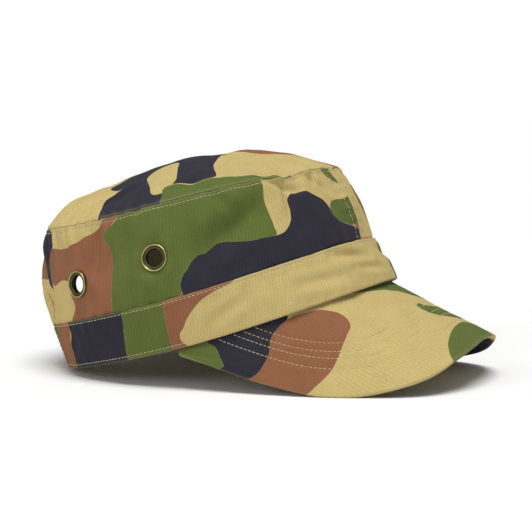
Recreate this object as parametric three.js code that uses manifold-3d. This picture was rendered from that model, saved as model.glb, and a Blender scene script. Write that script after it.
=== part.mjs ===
// Patrol cap in cotton twill, resting on its peak and its back strap.
// Millimetres. In the cap's own frame the head opening lies near z = 0, the front is -Y,
// the wearer's left is +X and the crown is above. At the end the cap is tipped back so that
// the two low corners of the peak and the strap at the back stand on z = 0.

import * as THREE from 'three';
import { mergeVertices } from 'three/addons/utils/BufferGeometryUtils.js';
import Module from 'manifold-3d';

const wasm = await Module();
wasm.setup();

// Head opening, measured to the outer face of the band at its lower edge
const headSide = 84;
const headFront = 99;
const headBack = 90;
const ovalPower = 2.2;

// Heights above the plane of the head opening
const hemFront = 3;
const hemSide = -4;
const hemBack = 0;
const bandHeight = 26;
const seamFront = 71;
const seamSide = 72;
const seamBack = 78;
const domeRise = 22;
const domePower = 2.2;
const wallBulge = 2.6;

// Cloth
const bandThick = 2.0;
const panelThick = 1.4;
const topThick = 1.4;
const peakThick = 2.6;
const strapThick = 1.6;
const bindingThick = 2.0;
const bandStep = 0.9;
const gap = 0.3;

// Peak
const peakReach = 48;
const peakDrop = 49;
const peakEndTurn = 84;

// Opening at the back, its binding and the strap across it
const archHalfWidth = 42;
const archShift = 3;
const archTop = 53;
const archPower = 2.6;
const bindingWidth = 8.5;
const strapHeight = 20;
const strapShift = 1.5;
const strapTuck = 11;

// Eyelets: height is a share of the side panel, from the band up to the top seam
const eyeletHoleRadius = 4.8;
const eyeletBarrelWall = 0.5;
const eyeletFlangeRadius = 7.1;
const eyeletWasherRadius = 6.7;
const eyeletBead = 1.0;
const eyeletSheet = 0.45;
const eyelets = [
  { name: 'front', turn: 84, height: 0.46 },
  { name: 'rear', turn: 119, height: 0.38 },
];

// How far the floor flattens the cloth that it carries
const press = 0.8;

// Ovals of the crown wall, as shares of the head's own sizes
const wallOvals = {
  hem: { side: 1, front: 1, back: 1 },
  bandTop: { side: 1.03, front: 0.935, back: 1.035 },
  seam: { side: 0.93, front: 0.85, back: 0.93 },
};

// Outer edge of the peak, from its front to its end on one side:
// across is a share of headSide, forward of headFront + peakReach, and drop of peakDrop
const peakEdge = [
  { across: 0, forward: 1, drop: 0.76 },
  { across: 0.395, forward: 0.967, drop: 0.85 },
  { across: 0.686, forward: 0.851, drop: 0.99 },
  { across: 0.89, forward: 0.59, drop: 0.96 },
  { across: 0.976, forward: 0.347, drop: 0.64 },
];

// Soft dents and swellings of the side wall. turn is in degrees, height a share of the side panel,
// depth in shares of the wall's bulge, wide in degrees and tall a share of the side panel
const wallDents = [
  { turn: 0, height: 0.55, depth: 0.45, wide: 34, tall: 0.4 },
  { turn: -24, height: 0.95, depth: 0.9, wide: 9, tall: 0.22 },
  { turn: 38, height: 0.8, depth: 1, wide: 6, tall: 0.3 },
  { turn: 54, height: 0.75, depth: -0.5, wide: 9, tall: 0.4 },
  { turn: -46, height: 0.9, depth: -0.6, wide: 12, tall: 0.3 },
  { turn: -52, height: 0.35, depth: 0.4, wide: 12, tall: 0.3 },
  { turn: -103, height: 0.6, depth: 0.35, wide: 9, tall: 0.5 },
  { turn: -146, height: 0.3, depth: 0.8, wide: 6, tall: 0.3 },
  { turn: 143, height: 0.3, depth: 0.9, wide: 6, tall: 0.35 },
  { turn: 128, height: 0.55, depth: -0.4, wide: 9, tall: 0.35 },
  { turn: 97, height: 0.5, depth: 0.35, wide: 10, tall: 0.5 },
  { turn: 160, height: 0.35, depth: -0.6, wide: 24, tall: 0.4 },
  { turn: -160, height: 0.35, depth: -0.6, wide: 24, tall: 0.4 },
];

// Dents of the top, at a turn and a share of the way out to its seam
const topDents = [
  { turn: -25, out: 0.9, depth: 2.2, spread: 0.16 },
  { turn: 40, out: 0.88, depth: 1.4, spread: 0.14 },
  { turn: -128, out: 0.84, depth: 1.5, spread: 0.2 },
  { turn: 140, out: 0.8, depth: 1.4, spread: 0.2 },
  { turn: 180, out: 0.75, depth: -3.2, spread: 0.4 },
];

// Cells along each piece
const wallColumns = 38;
const wallRows = 9;
const bandColumns = 84;
const bandRows = 3;
const topTurns = 54;
const topRings = 9;
const peakColumns = 44;
const peakRows = 7;
const strapColumns = 24;
const strapRows = 2;
const bindingColumns = 34;
const bindingRows = 9;
const eyeletSides = 16;
const archSteps = 28;

const green = 0x5f7a3a;
const tan = 0xcdb97f;
const brown = 0x8c5f47;
const navy = 0x3d3c47;
const brass = 0xa39b6c;

const degree = Math.PI / 180;
const mix = THREE.MathUtils.lerp;
const spread = (from, to, cells) =>
  Array.from({ length: cells + 1 }, (_, i) => mix(from, to, i / cells));

// Turn 0 is the front and 90 degrees the wearer's left.
function levelPoint(share, rise, turn) {
  const c = Math.cos(turn);
  const s = Math.sin(turn);
  const ahead = c > 0 ? share.front * headFront : share.back * headBack;
  const aside = share.side * headSide;
  const round = Math.abs(c / ahead) ** ovalPower + Math.abs(s / aside) ** ovalPower;
  const radius = round ** (-1 / ovalPower);
  const end = c > 0 ? rise.front : rise.back;
  return new THREE.Vector3(radius * s, -radius * c, mix(rise.side, end, c * c));
}

const hemRise = { front: hemFront, side: hemSide, back: hemBack };
const bandTopRise = {
  front: hemFront + bandHeight,
  side: hemSide + bandHeight,
  back: hemBack + bandHeight,
};
const seamRise = { front: seamFront, side: seamSide, back: seamBack };

const hemPoint = (turn) => levelPoint(wallOvals.hem, hemRise, turn);
const bandTopPoint = (turn) => levelPoint(wallOvals.bandTop, bandTopRise, turn);
const seamPoint = (turn) => levelPoint(wallOvals.seam, seamRise, turn);

const bell = (distance) => Math.exp(-distance * distance);
const turnBetween = (a, b) => Math.atan2(Math.sin(a - b), Math.cos(a - b));

function dentDepth(turn, height) {
  return wallDents.reduce((sum, dent) => {
    const around = turnBetween(turn, dent.turn * degree) / (dent.wide * degree);
    const upright = (height - dent.height) / dent.tall;
    return sum + dent.depth * wallBulge * bell(around) * bell(upright);
  }, 0);
}

// Band: height 0 is its lower edge and 1 its upper edge.
const bandFace = (turn, height) => hemPoint(turn).lerp(bandTopPoint(turn), height);

// Side panels: height 0 is the band's upper edge and 1 the top seam.
function sideFace(turn, height) {
  const point = bandTopPoint(turn).lerp(seamPoint(turn), height);
  const swell = 4 * wallBulge * height * (1 - height) - dentDepth(turn, height);
  point.x += swell * Math.sin(turn);
  point.y -= swell * Math.cos(turn);
  return point;
}

// Outward normal of a face that runs along turn and height.
function faceNormal(face, turn, height) {
  const step = 0.002;
  const along = face(turn + step, height).sub(face(turn - step, height));
  const up = face(turn, height + step).sub(face(turn, height - step));
  return along.cross(up).normalize();
}

// A face moved outward on the level, so that the edges of a wall stay level too.
const lifted = (face, outward) => (turn, height) => {
  const normal = faceNormal(face, turn, height).setZ(0).normalize();
  return face(turn, height).addScaledVector(normal, outward);
};

// Where a wall of one level is a given distance to the side, behind the ears.
function turnAtSide(face, height, side) {
  let near = Math.PI / 2;
  let far = Math.PI;
  for (let i = 0; i < 40; i++) {
    const middle = (near + far) / 2;
    if (face(middle, height).x > side) near = middle;
    else far = middle;
  }
  return near;
}

function geometryOf(points, faces) {
  const geometry = new THREE.BufferGeometry();
  geometry.setAttribute(
    'position',
    new THREE.Float32BufferAttribute(points.flatMap((p) => [p.x, p.y, p.z]), 3),
  );
  geometry.setIndex(faces);
  return geometry;
}

// Closed wall between an outer and an inner face, over a grid of columns and rows.
function wall(columns, rows, outer, inner) {
  const points = [];
  const across = rows.length;
  for (const face of [outer, inner])
    for (const column of columns) for (const row of rows) points.push(face(column, row));
  const at = (layer, i, j) => layer * columns.length * across + i * across + j;
  const faces = [];
  const quad = (a, b, c, d) => faces.push(a, b, c, a, c, d);
  const last = { i: columns.length - 1, j: across - 1 };
  for (let i = 0; i < last.i; i++)
    for (let j = 0; j < last.j; j++) {
      quad(at(0, i, j), at(0, i + 1, j), at(0, i + 1, j + 1), at(0, i, j + 1));
      quad(at(1, i, j), at(1, i, j + 1), at(1, i + 1, j + 1), at(1, i + 1, j));
    }
  for (let i = 0; i < last.i; i++) {
    quad(at(1, i, 0), at(1, i + 1, 0), at(0, i + 1, 0), at(0, i, 0));
    quad(at(0, i, last.j), at(0, i + 1, last.j), at(1, i + 1, last.j), at(1, i, last.j));
  }
  for (let j = 0; j < last.j; j++) {
    quad(at(0, 0, j), at(0, 0, j + 1), at(1, 0, j + 1), at(1, 0, j));
    quad(at(1, last.i, j), at(1, last.i, j + 1), at(0, last.i, j + 1), at(0, last.i, j));
  }
  return geometryOf(points, faces);
}

// Closed disc between an outer and an inner face, over rings round a middle point.
function disc(turns, rings, outer, inner) {
  const points = [outer(0, 0), inner(0, 0)];
  const order = [
    ...rings.map((out) => [outer, out]),
    ...rings.toReversed().map((out) => [inner, out]),
  ];
  for (const [face, out] of order) for (const turn of turns) points.push(face(turn, out));
  const n = turns.length;
  const at = (ring, i) => 2 + ring * n + (i % n);
  const faces = [];
  for (let i = 0; i < n; i++) {
    faces.push(0, at(0, i), at(0, i + 1));
    for (let ring = 0; ring + 1 < order.length; ring++) {
      const [a, b] = [at(ring, i), at(ring, i + 1)];
      const [c, d] = [at(ring + 1, i), at(ring + 1, i + 1)];
      faces.push(a, c, d, a, d, b);
    }
    faces.push(1, at(order.length - 1, i + 1), at(order.length - 1, i));
  }
  return geometryOf(points, faces);
}

function solidOf(geometry) {
  const bare = geometry.clone();
  bare.deleteAttribute('normal');
  bare.deleteAttribute('uv');
  const merged = mergeVertices(bare, 1e-3);
  const mesh = new wasm.Mesh({
    numProp: 3,
    vertProperties: merged.getAttribute('position').array,
    triVerts: new Uint32Array(merged.index.array),
  });
  return new wasm.Manifold(mesh);
}

function geometryFrom(solid) {
  const mesh = solid.getMesh();
  const geometry = new THREE.BufferGeometry();
  geometry.setAttribute('position', new THREE.BufferAttribute(mesh.vertProperties, 3));
  geometry.setIndex(new THREE.BufferAttribute(mesh.triVerts, 1));
  return geometry;
}

// Arch over the strap, as a prism that runs back through the rear wall. grow widens it all round.
function archPrism(grow, foot) {
  const outline = new THREE.Shape();
  const half = archHalfWidth + grow;
  const spring = bandTopRise.back;
  const rise = archTop + grow - spring;
  outline.moveTo(half, foot);
  for (const angle of spread(0, Math.PI, archSteps)) {
    const c = Math.cos(angle);
    const s = Math.max(Math.sin(angle), 0);
    const x = half * Math.sign(c) * Math.abs(c) ** (2 / archPower);
    outline.lineTo(x, spring + rise * s ** (2 / archPower));
  }
  outline.lineTo(-half, foot);
  outline.closePath();
  const depth = headBack;
  const prism = new THREE.ExtrudeGeometry(outline, { depth, bevelEnabled: false });
  prism.rotateX(Math.PI / 2);
  prism.translate(archShift, headBack / 2 + depth, 0);
  return solidOf(prism);
}

// Eyelet: flange and bead outside the cloth, barrel through it, washer inside. Its axis is +Y,
// and y = 0 is the outer face of the cloth.
function eyeletGeometry() {
  const barrel = eyeletHoleRadius + eyeletBarrelWall;
  const back = -panelThick - gap - eyeletSheet;
  const profile = [
    [eyeletHoleRadius, back - eyeletSheet],
    [eyeletWasherRadius, back - eyeletSheet],
    [eyeletWasherRadius, back],
    [barrel, back],
    [barrel, gap],
    [eyeletFlangeRadius - 0.2, gap],
    [eyeletFlangeRadius, gap + eyeletBead / 2],
    [eyeletFlangeRadius - 0.35, gap + eyeletBead],
    [eyeletFlangeRadius - 0.9, gap + eyeletBead],
    [eyeletFlangeRadius - 1.3, gap + eyeletSheet],
    [barrel + 0.2, gap + eyeletSheet],
    [eyeletHoleRadius, gap + eyeletSheet / 2],
    [eyeletHoleRadius, back - eyeletSheet],
  ];
  return new THREE.LatheGeometry(
    profile.map(([r, y]) => new THREE.Vector2(r, y)),
    eyeletSides,
  );
}

// Side panels stand clear of the band below and carry the top panel above.
const panelShare = 1 / (seamFront - hemFront - bandHeight);
const panelFoot = gap * panelShare;
const panelHead = 1 - (topThick + gap) * panelShare;
const panelOuter = lifted(sideFace, -bandStep);
const panelInner = lifted(sideFace, -bandStep - panelThick);

// Every eyelet's seat: the middle of its hole on the cloth's outer face, and the way it faces.
const seats = eyelets.flatMap(({ name, turn, height }) =>
  [
    { side: 'left', way: 1 },
    { side: 'right', way: -1 },
  ].map(({ side, way }) => {
    const angle = way * turn * degree;
    return {
      name: `eyelet_${side}_${name}`,
      way,
      middle: panelOuter(angle, height),
      normal: faceNormal(sideFace, angle, height),
    };
  }),
);

const turnTo = (normal) =>
  new THREE.Quaternion().setFromUnitVectors(new THREE.Vector3(0, 1, 0), normal);

// Hole through the cloth for one eyelet's barrel.
function eyeletHole({ middle, normal }) {
  const radius = eyeletHoleRadius + eyeletBarrelWall + gap;
  const drill = new THREE.CylinderGeometry(radius, radius, 6 * panelThick, eyeletSides);
  drill.applyQuaternion(turnTo(normal));
  drill.translate(middle.x, middle.y, middle.z);
  return solidOf(drill);
}

const archFoot = hemBack - bandHeight;
const panelCut = archPrism(bindingWidth + gap, archFoot);

// One half of the side wall, from the front seam to the back seam.
function sidePanel(way) {
  const seamTurn = gap / 2 / headFront;
  const from = way > 0 ? seamTurn : -Math.PI + seamTurn;
  const to = way > 0 ? Math.PI - seamTurn : -seamTurn;
  const rows = spread(panelFoot, panelHead, wallRows);
  let solid = solidOf(wall(spread(from, to, wallColumns), rows, panelOuter, panelInner));
  solid = solid.subtract(panelCut);
  for (const seat of seats)
    if (seat.way === way) solid = solid.subtract(eyeletHole(seat));
  return geometryFrom(solid);
}

// Strip sewn round the arch, a little thicker than the panels that it edges.
function archBinding() {
  const extra = (bindingThick - panelThick) / 2;
  const reach = Math.PI - turnAtSide(sideFace, 0, archHalfWidth + archShift + 2 * bindingWidth);
  const rows = spread(panelFoot, 0.9, bindingRows);
  const columns = spread(Math.PI - reach, Math.PI + reach, bindingColumns);
  const outer = lifted(sideFace, -bandStep + extra);
  const inner = lifted(sideFace, -bandStep - panelThick - extra);
  const solid = solidOf(wall(columns, rows, outer, inner))
    .intersect(archPrism(bindingWidth, archFoot))
    .subtract(archPrism(0, archFoot));
  return geometryFrom(solid);
}

// The band stops at the foot of the arch on each side.
const bandLeftEnd = turnAtSide(bandFace, 0, archHalfWidth + archShift + gap);
const bandRightEnd = 2 * Math.PI - turnAtSide(bandFace, 0, archHalfWidth - archShift + gap);

function band() {
  return wall(
    spread(bandRightEnd - 2 * Math.PI, bandLeftEnd, bandColumns),
    spread(0, 1, bandRows),
    bandFace,
    lifted(bandFace, -bandThick),
  );
}

// Top panel: out 0 is the middle of the crown and 1 its rim, over the upper edge of the side panels.
function topFace(turn, out) {
  const rim = panelOuter(turn, 1);
  const middle = mix(seamRise.front, seamRise.back, 0.5);
  const dent = topDents.reduce((sum, d) => {
    const dx = out * Math.sin(turn) - d.out * Math.sin(d.turn * degree);
    const dy = out * Math.cos(turn) - d.out * Math.cos(d.turn * degree);
    return sum + d.depth * bell(Math.hypot(dx, dy) / d.spread);
  }, 0);
  const height = mix(middle, rim.z, out * out) + domeRise * (1 - out ** domePower);
  return new THREE.Vector3(rim.x * out, rim.y * out, height - dent * (1 - out ** 8));
}

function topPanel() {
  const turns = spread(0, 2 * Math.PI, topTurns).slice(0, -1);
  const rings = spread(0, 1, topRings).slice(1);
  const inner = (turn, out) => topFace(turn, out).add(new THREE.Vector3(0, 0, -topThick));
  return disc(turns, rings, topFace, inner);
}

// Peak: across runs from -1 to 1 between its two ends, out from 0 at the band to 1 at its edge.
const peakForward = headFront + peakReach;
const peakRow = (row, way) =>
  new THREE.Vector3(way * row.across * headSide, -row.forward * peakForward, -row.drop * peakDrop);
const peakRootPoint = (across) => {
  const point = lifted(bandFace, -bandThick)(across * peakEndTurn * degree, 0);
  point.z -= gap;
  return point;
};
const peakRim = new THREE.CatmullRomCurve3(
  [
    hemPoint(-peakEndTurn * degree).add(new THREE.Vector3(0, 0, -peakThick)),
    ...peakEdge.slice(1).toReversed().map((row) => peakRow(row, -1)),
    ...peakEdge.map((row) => peakRow(row, 1)),
    hemPoint(peakEndTurn * degree).add(new THREE.Vector3(0, 0, -peakThick)),
  ],
  false,
  'centripetal',
);
const peakFace = (across, out) =>
  peakRootPoint(across).lerp(peakRim.getPoint((across + 1) / 2), out);

function peakUnderFace(across, out) {
  const near = Math.min(Math.abs(across), 0.97) * Math.sign(across);
  const normal = faceNormal(peakFace, near, Math.min(out, 0.98));
  if (normal.z > 0) normal.negate();
  return peakFace(across, out).addScaledVector(normal, peakThick);
}

function peak() {
  return wall(
    spread(-1, 1, peakColumns),
    spread(0, 1, peakRows).toReversed(),
    peakFace,
    peakUnderFace,
  );
}

// The two straps. The outer one is sewn inside the right end of the band and lies over the inner
// one, which is sewn inside the left end.
const bandInside = -bandThick - gap;
const tuckTurn = strapTuck / headBack;
const strapLevel = (turn, height, shift) => {
  const point = bandFace(turn, 0);
  const up = bandTopPoint(turn).sub(point).normalize();
  return point.addScaledVector(up, shift + height * strapHeight);
};

function strap(from, to, shift, depthAt) {
  const face = (turn, height) => strapLevel(turn, height, shift);
  const outer = (turn, height) => lifted(face, depthAt(turn))(turn, height);
  const inner = (turn, height) => lifted(face, depthAt(turn) - strapThick)(turn, height);
  return wall(spread(from, to, strapColumns), spread(0, 1, strapRows), outer, inner);
}

function outerStrap() {
  const free = bandLeftEnd + gap / headBack;
  const sewn = bandRightEnd + tuckTurn;
  const bend = bandRightEnd - tuckTurn / 2;
  const depthAt = (turn) =>
    mix(-gap, bandInside, THREE.MathUtils.smoothstep(turn, bend - tuckTurn, bend));
  return strap(free, sewn, 0, depthAt);
}

function innerStrap() {
  const sewn = bandLeftEnd - tuckTurn;
  const end = bandRightEnd - 2.2 * tuckTurn;
  return strap(sewn, end, strapShift, () => bandInside);
}

// Tip the cap until its back and the low corners of its peak reach the same level.
function lowest(geometry, tilt) {
  const positions = geometry.getAttribute('position');
  let low = Infinity;
  for (let i = 0; i < positions.count; i++)
    low = Math.min(
      low,
      positions.getZ(i) * Math.cos(tilt) - positions.getY(i) * Math.sin(tilt),
    );
  return low;
}

function restTilt(front, back) {
  let low = 0;
  let high = 45 * degree;
  for (let i = 0; i < 40; i++) {
    const tilt = (low + high) / 2;
    if (lowest(front, tilt) < lowest(back, tilt)) low = tilt;
    else high = tilt;
  }
  return low;
}

const cloth = (color) => new THREE.MeshStandardMaterial({ color, roughness: 0.9, metalness: 0 });
const metal = new THREE.MeshStandardMaterial({ color: brass, roughness: 0.4, metalness: 1 });

const shapes = {
  peak: { geometry: peak(), material: cloth(tan) },
  strap_outer: { geometry: outerStrap(), material: cloth(navy) },
  strap_inner: { geometry: innerStrap(), material: cloth(brown) },
  band: { geometry: band(), material: cloth(tan) },
  side_panel_left: { geometry: sidePanel(1), material: cloth(tan) },
  side_panel_right: { geometry: sidePanel(-1), material: cloth(green) },
  arch_binding: { geometry: archBinding(), material: cloth(brown) },
  top_panel: { geometry: topPanel(), material: cloth(tan) },
};

const tilt = restTilt(shapes.peak.geometry, shapes.strap_outer.geometry);
const floor = lowest(shapes.peak.geometry, tilt) + press;

// What the floor presses flat: a slab under the tipped cap, in the cap's own frame.
function underFloor() {
  const size = 6 * headFront;
  const slab = new THREE.BoxGeometry(size, size, size);
  slab.translate(0, 0, floor - size / 2);
  slab.rotateX(tilt);
  return solidOf(slab);
}

const cap = new THREE.Group();
const slab = underFloor();
for (const [name, { geometry, material }] of Object.entries(shapes)) {
  const pressed = lowest(geometry, tilt) < floor;
  const kept = pressed ? geometryFrom(solidOf(geometry).subtract(slab)) : geometry;
  const mesh = new THREE.Mesh(kept, material);
  mesh.name = name;
  cap.add(mesh);
}
for (const { name, middle, normal } of seats) {
  const mesh = new THREE.Mesh(eyeletGeometry(), metal);
  mesh.name = name;
  mesh.position.copy(middle);
  mesh.quaternion.copy(turnTo(normal));
  cap.add(mesh);
}

cap.rotation.x = -tilt;
cap.position.z = -floor;

// The origin is under the middle of the whole cap.
const object = new THREE.Group();
object.add(cap);
object.updateMatrixWorld(true);
const reach = new THREE.Box3().setFromObject(cap, true);
cap.position.x -= (reach.min.x + reach.max.x) / 2;
cap.position.y -= (reach.min.y + reach.max.y) / 2;

export default object;
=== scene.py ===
# Patrol cap in printed cotton twill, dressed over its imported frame. Made for Blender 4.5.
import math
import bmesh
import bpy
import numpy as np
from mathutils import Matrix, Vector, noise


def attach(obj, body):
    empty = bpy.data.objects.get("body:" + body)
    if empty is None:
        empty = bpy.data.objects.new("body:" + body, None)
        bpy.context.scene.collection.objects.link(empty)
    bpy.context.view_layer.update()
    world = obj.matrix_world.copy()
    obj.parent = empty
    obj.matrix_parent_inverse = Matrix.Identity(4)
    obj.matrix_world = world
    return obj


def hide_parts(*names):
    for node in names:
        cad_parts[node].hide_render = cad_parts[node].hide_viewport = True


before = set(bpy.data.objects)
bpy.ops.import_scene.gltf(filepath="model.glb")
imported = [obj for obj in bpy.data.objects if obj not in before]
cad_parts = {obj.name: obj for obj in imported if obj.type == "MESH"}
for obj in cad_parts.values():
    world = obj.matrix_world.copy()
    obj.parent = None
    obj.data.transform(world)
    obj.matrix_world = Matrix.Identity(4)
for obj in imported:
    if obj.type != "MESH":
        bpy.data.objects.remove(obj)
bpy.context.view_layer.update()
scene = bpy.context.scene
print("frame loaded:", len(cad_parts), "nodes")

# The cap's own frame is in millimetres: head opening near z = 0, front -Y, wearer's left +X.
cap = {
    "headSide": 84, "headFront": 99, "headBack": 90,  # half sizes of the head opening
    "ovalPower": 2.2,  # 2 is an ellipse, and more is squarer
    # three level lines: shares of the head opening, and heights at the side, the front and the back
    "hem": {"side": 1, "front": 1, "back": 1, "sideRise": -4, "frontRise": 3, "backRise": 0},
    "bandTop": {"side": 1.03, "front": 0.935, "back": 1.035, "sideRise": 22, "frontRise": 29, "backRise": 26},
    "seam": {"side": 0.93, "front": 0.85, "back": 0.93, "sideRise": 72, "frontRise": 71, "backRise": 79},
    "wallBulge": 2.6, "bandStep": 0.9,  # how far the wall swells, and how far it stands back from the band
    "domeFoot": 74.5, "domeRise": 22, "domePower": 2.2,
    "tilt": 15.2472, "shift": (0.0044, 24.6655, 22.7889),  # degrees and mm: it is tipped back on its peak
    "nearFloor": 0.6,  # cloth lower than this is flattened by the floor
}
wallDents = [  # turn, height, depth, width in degrees, height of the dent
    (0, 0.55, 0.45, 34, 0.4), (-24, 0.95, 0.9, 9, 0.22), (38, 0.8, 1, 6, 0.3), (54, 0.75, -0.5, 9, 0.4),
    (-46, 0.9, -0.6, 12, 0.3), (-52, 0.35, 0.4, 12, 0.3), (-103, 0.6, 0.35, 9, 0.5), (-146, 0.3, 0.8, 6, 0.3),
    (143, 0.3, 0.9, 6, 0.35), (128, 0.55, -0.4, 9, 0.35), (97, 0.5, 0.35, 10, 0.5), (160, 0.35, -0.6, 24, 0.4),
    (-160, 0.35, -0.6, 24, 0.4)]
topDents = [  # turn, share of the way out, depth, spread
    (-25, 0.9, 2.2, 0.16), (40, 0.88, 1.4, 0.14), (-128, 0.84, 1.5, 0.2), (140, 0.8, 1.4, 0.2),
    (180, 0.75, -3.2, 0.4)]
peakShape = {
    "halfTurn": 84, "reach": 147, "fall": 49,  # how far round it is sewn on, its reach and its fall
    "rootIn": 2, "rootDown": 0.3, "endDown": 2.6,  # where its root and its two ends lie under the band
    # its edge from the middle to one side, in shares of headSide, the reach and the fall
    "edge": [
        (0, 1, 0.76), (0.395, 0.967, 0.85), (0.686, 0.851, 0.99), (0.89, 0.59, 0.96), (0.976, 0.347, 0.64)],
}
# millimetres of each chart: to a degree of turn and over its height, or over the peak's half width and length
wallMm, bandMm, peakMm = (1.55, 46), (1.55, 26), (125, 62)
topMm = 84  # from the middle of the top panel to its seam
cellMm = 1.2  # grid spacing along the panels
edgeRowsMm = [0, 0.1, 0.3, 0.6, 1.0, 1.5]  # grid rows close to a rounded edge
wallSteps = (0.05, 0.002)  # degrees and share of the height, for working out which way the cloth faces


def wrapTurn(turn):
    return (turn + 180) % 360 - 180  # degrees from -180 to 180, with 0 at the front


def levelPoint(oval, turn):
    c, s = np.cos(turn), np.sin(turn)
    ahead = np.where(c > 0, oval["front"] * cap["headFront"], oval["back"] * cap["headBack"])
    beside = oval["side"] * cap["headSide"]
    power = cap["ovalPower"]
    radius = (np.abs(c / ahead) ** power + np.abs(s / beside) ** power) ** (-1 / power)
    end = np.where(c > 0, oval["frontRise"], oval["backRise"])
    return np.stack([radius * s, -radius * c, oval["sideRise"] + (end - oval["sideRise"]) * c * c], -1)


def bandFace(turn, height):
    turn = np.radians(turn)
    low, high = levelPoint(cap["hem"], turn), levelPoint(cap["bandTop"], turn)
    return low + (high - low) * height[..., None]


def sideFace(turn, height):
    angle = np.radians(turn)
    low, high = levelPoint(cap["bandTop"], angle), levelPoint(cap["seam"], angle)
    point = low + (high - low) * height[..., None]
    swell = 4 * cap["wallBulge"] * height * (1 - height)
    for at, up, depth, wide, tall in wallDents:
        swell = swell - depth * cap["wallBulge"] * bell(wrapTurn(turn - at) / wide) * bell((height - up) / tall)
    point[..., 0] += swell * np.sin(angle)
    point[..., 1] -= swell * np.cos(angle)
    return point


def topFace(turn, out):
    angle = np.radians(turn)
    rim = sideFace(turn, np.ones_like(turn))
    rim = rim - unit(rim * (1, 1, 0)) * cap["bandStep"]
    dent = 0
    for at, share, depth, spread in topDents:
        dx = out * np.sin(angle) - share * math.sin(math.radians(at))
        dy = out * np.cos(angle) - share * math.cos(math.radians(at))
        dent = dent + depth * np.exp(-(dx * dx + dy * dy) / spread ** 2)
    foot = cap["domeFoot"]
    rise = foot + (rim[..., 2] - foot) * out ** 2 + cap["domeRise"] * (1 - out ** cap["domePower"])
    return np.stack([rim[..., 0] * out, rim[..., 1] * out, rise - dent * (1 - out ** 8)], -1)


def smoothLine(points, closed, steps):
    # an even curve through the points, with so many steps to a stretch
    points = np.array(points, float)
    if closed:
        ends = points[-1:], points[:2]
    else:
        ends = 2 * points[:1] - points[1:2], 2 * points[-1:] - points[-2:-1]
    padded = np.vstack([ends[0], points, ends[1]])
    line = []
    for i in range(len(padded) - 3):
        a, b, c, d = padded[i:i + 4]
        ta, tb, tc = (max(np.linalg.norm(q - p) ** 0.5, 1e-4) for p, q in ((a, b), (b, c), (c, d)))
        out = ((b - a) / ta - (c - a) / (ta + tb) + (c - b) / tb) * tb
        into = ((c - b) / tb - (d - b) / (tb + tc) + (d - c) / tc) * tb
        bend, twist = 3 * (c - b) - 2 * out - into, 2 * (b - c) + out + into
        for w in np.arange(steps) / steps:
            line.append(b + out * w + bend * w ** 2 + twist * w ** 3)
    if not closed:
        line.append(points[-1])
    return np.array(line)


def peakRimLine():
    sides = np.array([-1.0, 1.0]) * peakShape["halfTurn"]
    ends = levelPoint(cap["hem"], np.radians(sides)) - (0, 0, peakShape["endDown"])
    sizes = np.array([cap["headSide"], -peakShape["reach"], -peakShape["fall"]])
    half = [np.array(shares) * sizes for shares in peakShape["edge"]]
    other = [point * (-1, 1, 1) for point in half[:0:-1]]
    return smoothLine([ends[0], *other, *half, ends[1]], False, 40)


def peakFace(across, out):
    root = levelPoint(cap["hem"], np.radians(peakShape["halfTurn"] * across))
    root = root - peakShape["rootIn"] * unit(root * (1, 1, 0)) - (0, 0, peakShape["rootDown"])
    at = (across + 1) / 2 * (len(peakRim) - 1)
    rim = np.stack([np.interp(at, range(len(peakRim)), peakRim[:, k]) for k in range(3)], -1)
    return root + (rim - root) * out[..., None]


def unit(vectors):
    return vectors / np.maximum(np.linalg.norm(vectors, axis=-1, keepdims=True), 1e-9)


def normalOf(face, a, b, stepA, stepB):
    along = face(a + stepA, b) - face(a - stepA, b)
    up = face(a, b + stepB) - face(a, b - stepB)
    return unit(np.cross(along, up))


def bell(x):
    return np.exp(-np.square(x))


def ripple(a, b, size, seed):
    # soft noise over a chart, about -1 to 1: its size is in mm along both ways, and the seed picks the pattern
    flat = [noise.noise(Vector((x / size[0], y / size[1], seed))) for x, y in zip(np.ravel(a), np.ravel(b))]
    return np.array(flat).reshape(np.shape(a)) * 1.6  # the noise by itself stays within about 0.6


creaseGain = 1.3  # on the depths that the lists of creases give


def creasePush(a, b, creases, scale=(1, 1)):
    # soft valleys with a ridge on each side, each from one chart place to another
    push = np.zeros(np.shape(a))
    for x0, y0, x1, y1, depth, width in creases:
        x0, y0, x1, y1 = x0 * scale[0], y0 * scale[1], x1 * scale[0], y1 * scale[1]
        dx, dy = x1 - x0, y1 - y0
        t = np.clip(((a - x0) * dx + (b - y0) * dy) / (dx * dx + dy * dy), 0, 1)
        away = np.hypot(a - x0 - t * dx, b - y0 - t * dy) / width
        taper = 0.35 + 0.65 * np.sin(np.pi * np.clip(t, 0.02, 0.98)) ** 0.7
        push = push - creaseGain * depth * taper * (bell(away) - 0.45 * bell((away - 1.7) / 0.9))
    return push


def stitchDip(away, depth=0.35, width=0.5):
    return depth * bell(away / width)  # how far a row of stitches pulls the cloth in, in mm


def roundEdge(fromEdge, radius):
    # how far a surface drops towards a rounded edge
    s = np.clip(fromEdge, 0, radius)
    return radius - np.sqrt(np.maximum(radius ** 2 - (radius - s) ** 2, 0))


def toNearestEdge(a, length, b, height):
    return np.minimum(np.minimum(b, height - b), np.minimum(a, length - a))


def gridSteps(length, fine, margin, count):
    # places along a length in mm, closer together near both ends
    fine = np.array(fine)
    return np.concatenate([fine, np.linspace(margin, length - margin, count), length - fine[::-1]])


def toWorld(points):
    t = math.radians(cap["tilt"])
    x, y, z = points[..., 0], points[..., 1], points[..., 2]
    sx, sy, sz = cap["shift"]
    height = -y * math.sin(t) + z * math.cos(t) + sz
    low = cap["nearFloor"]
    height = np.where(height < low, low * np.exp((height - low) / low), height)
    return np.stack([x + sx, y * math.cos(t) + z * math.sin(t) + sy, height], -1) / 1000


peakRim = peakRimLine()

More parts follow.
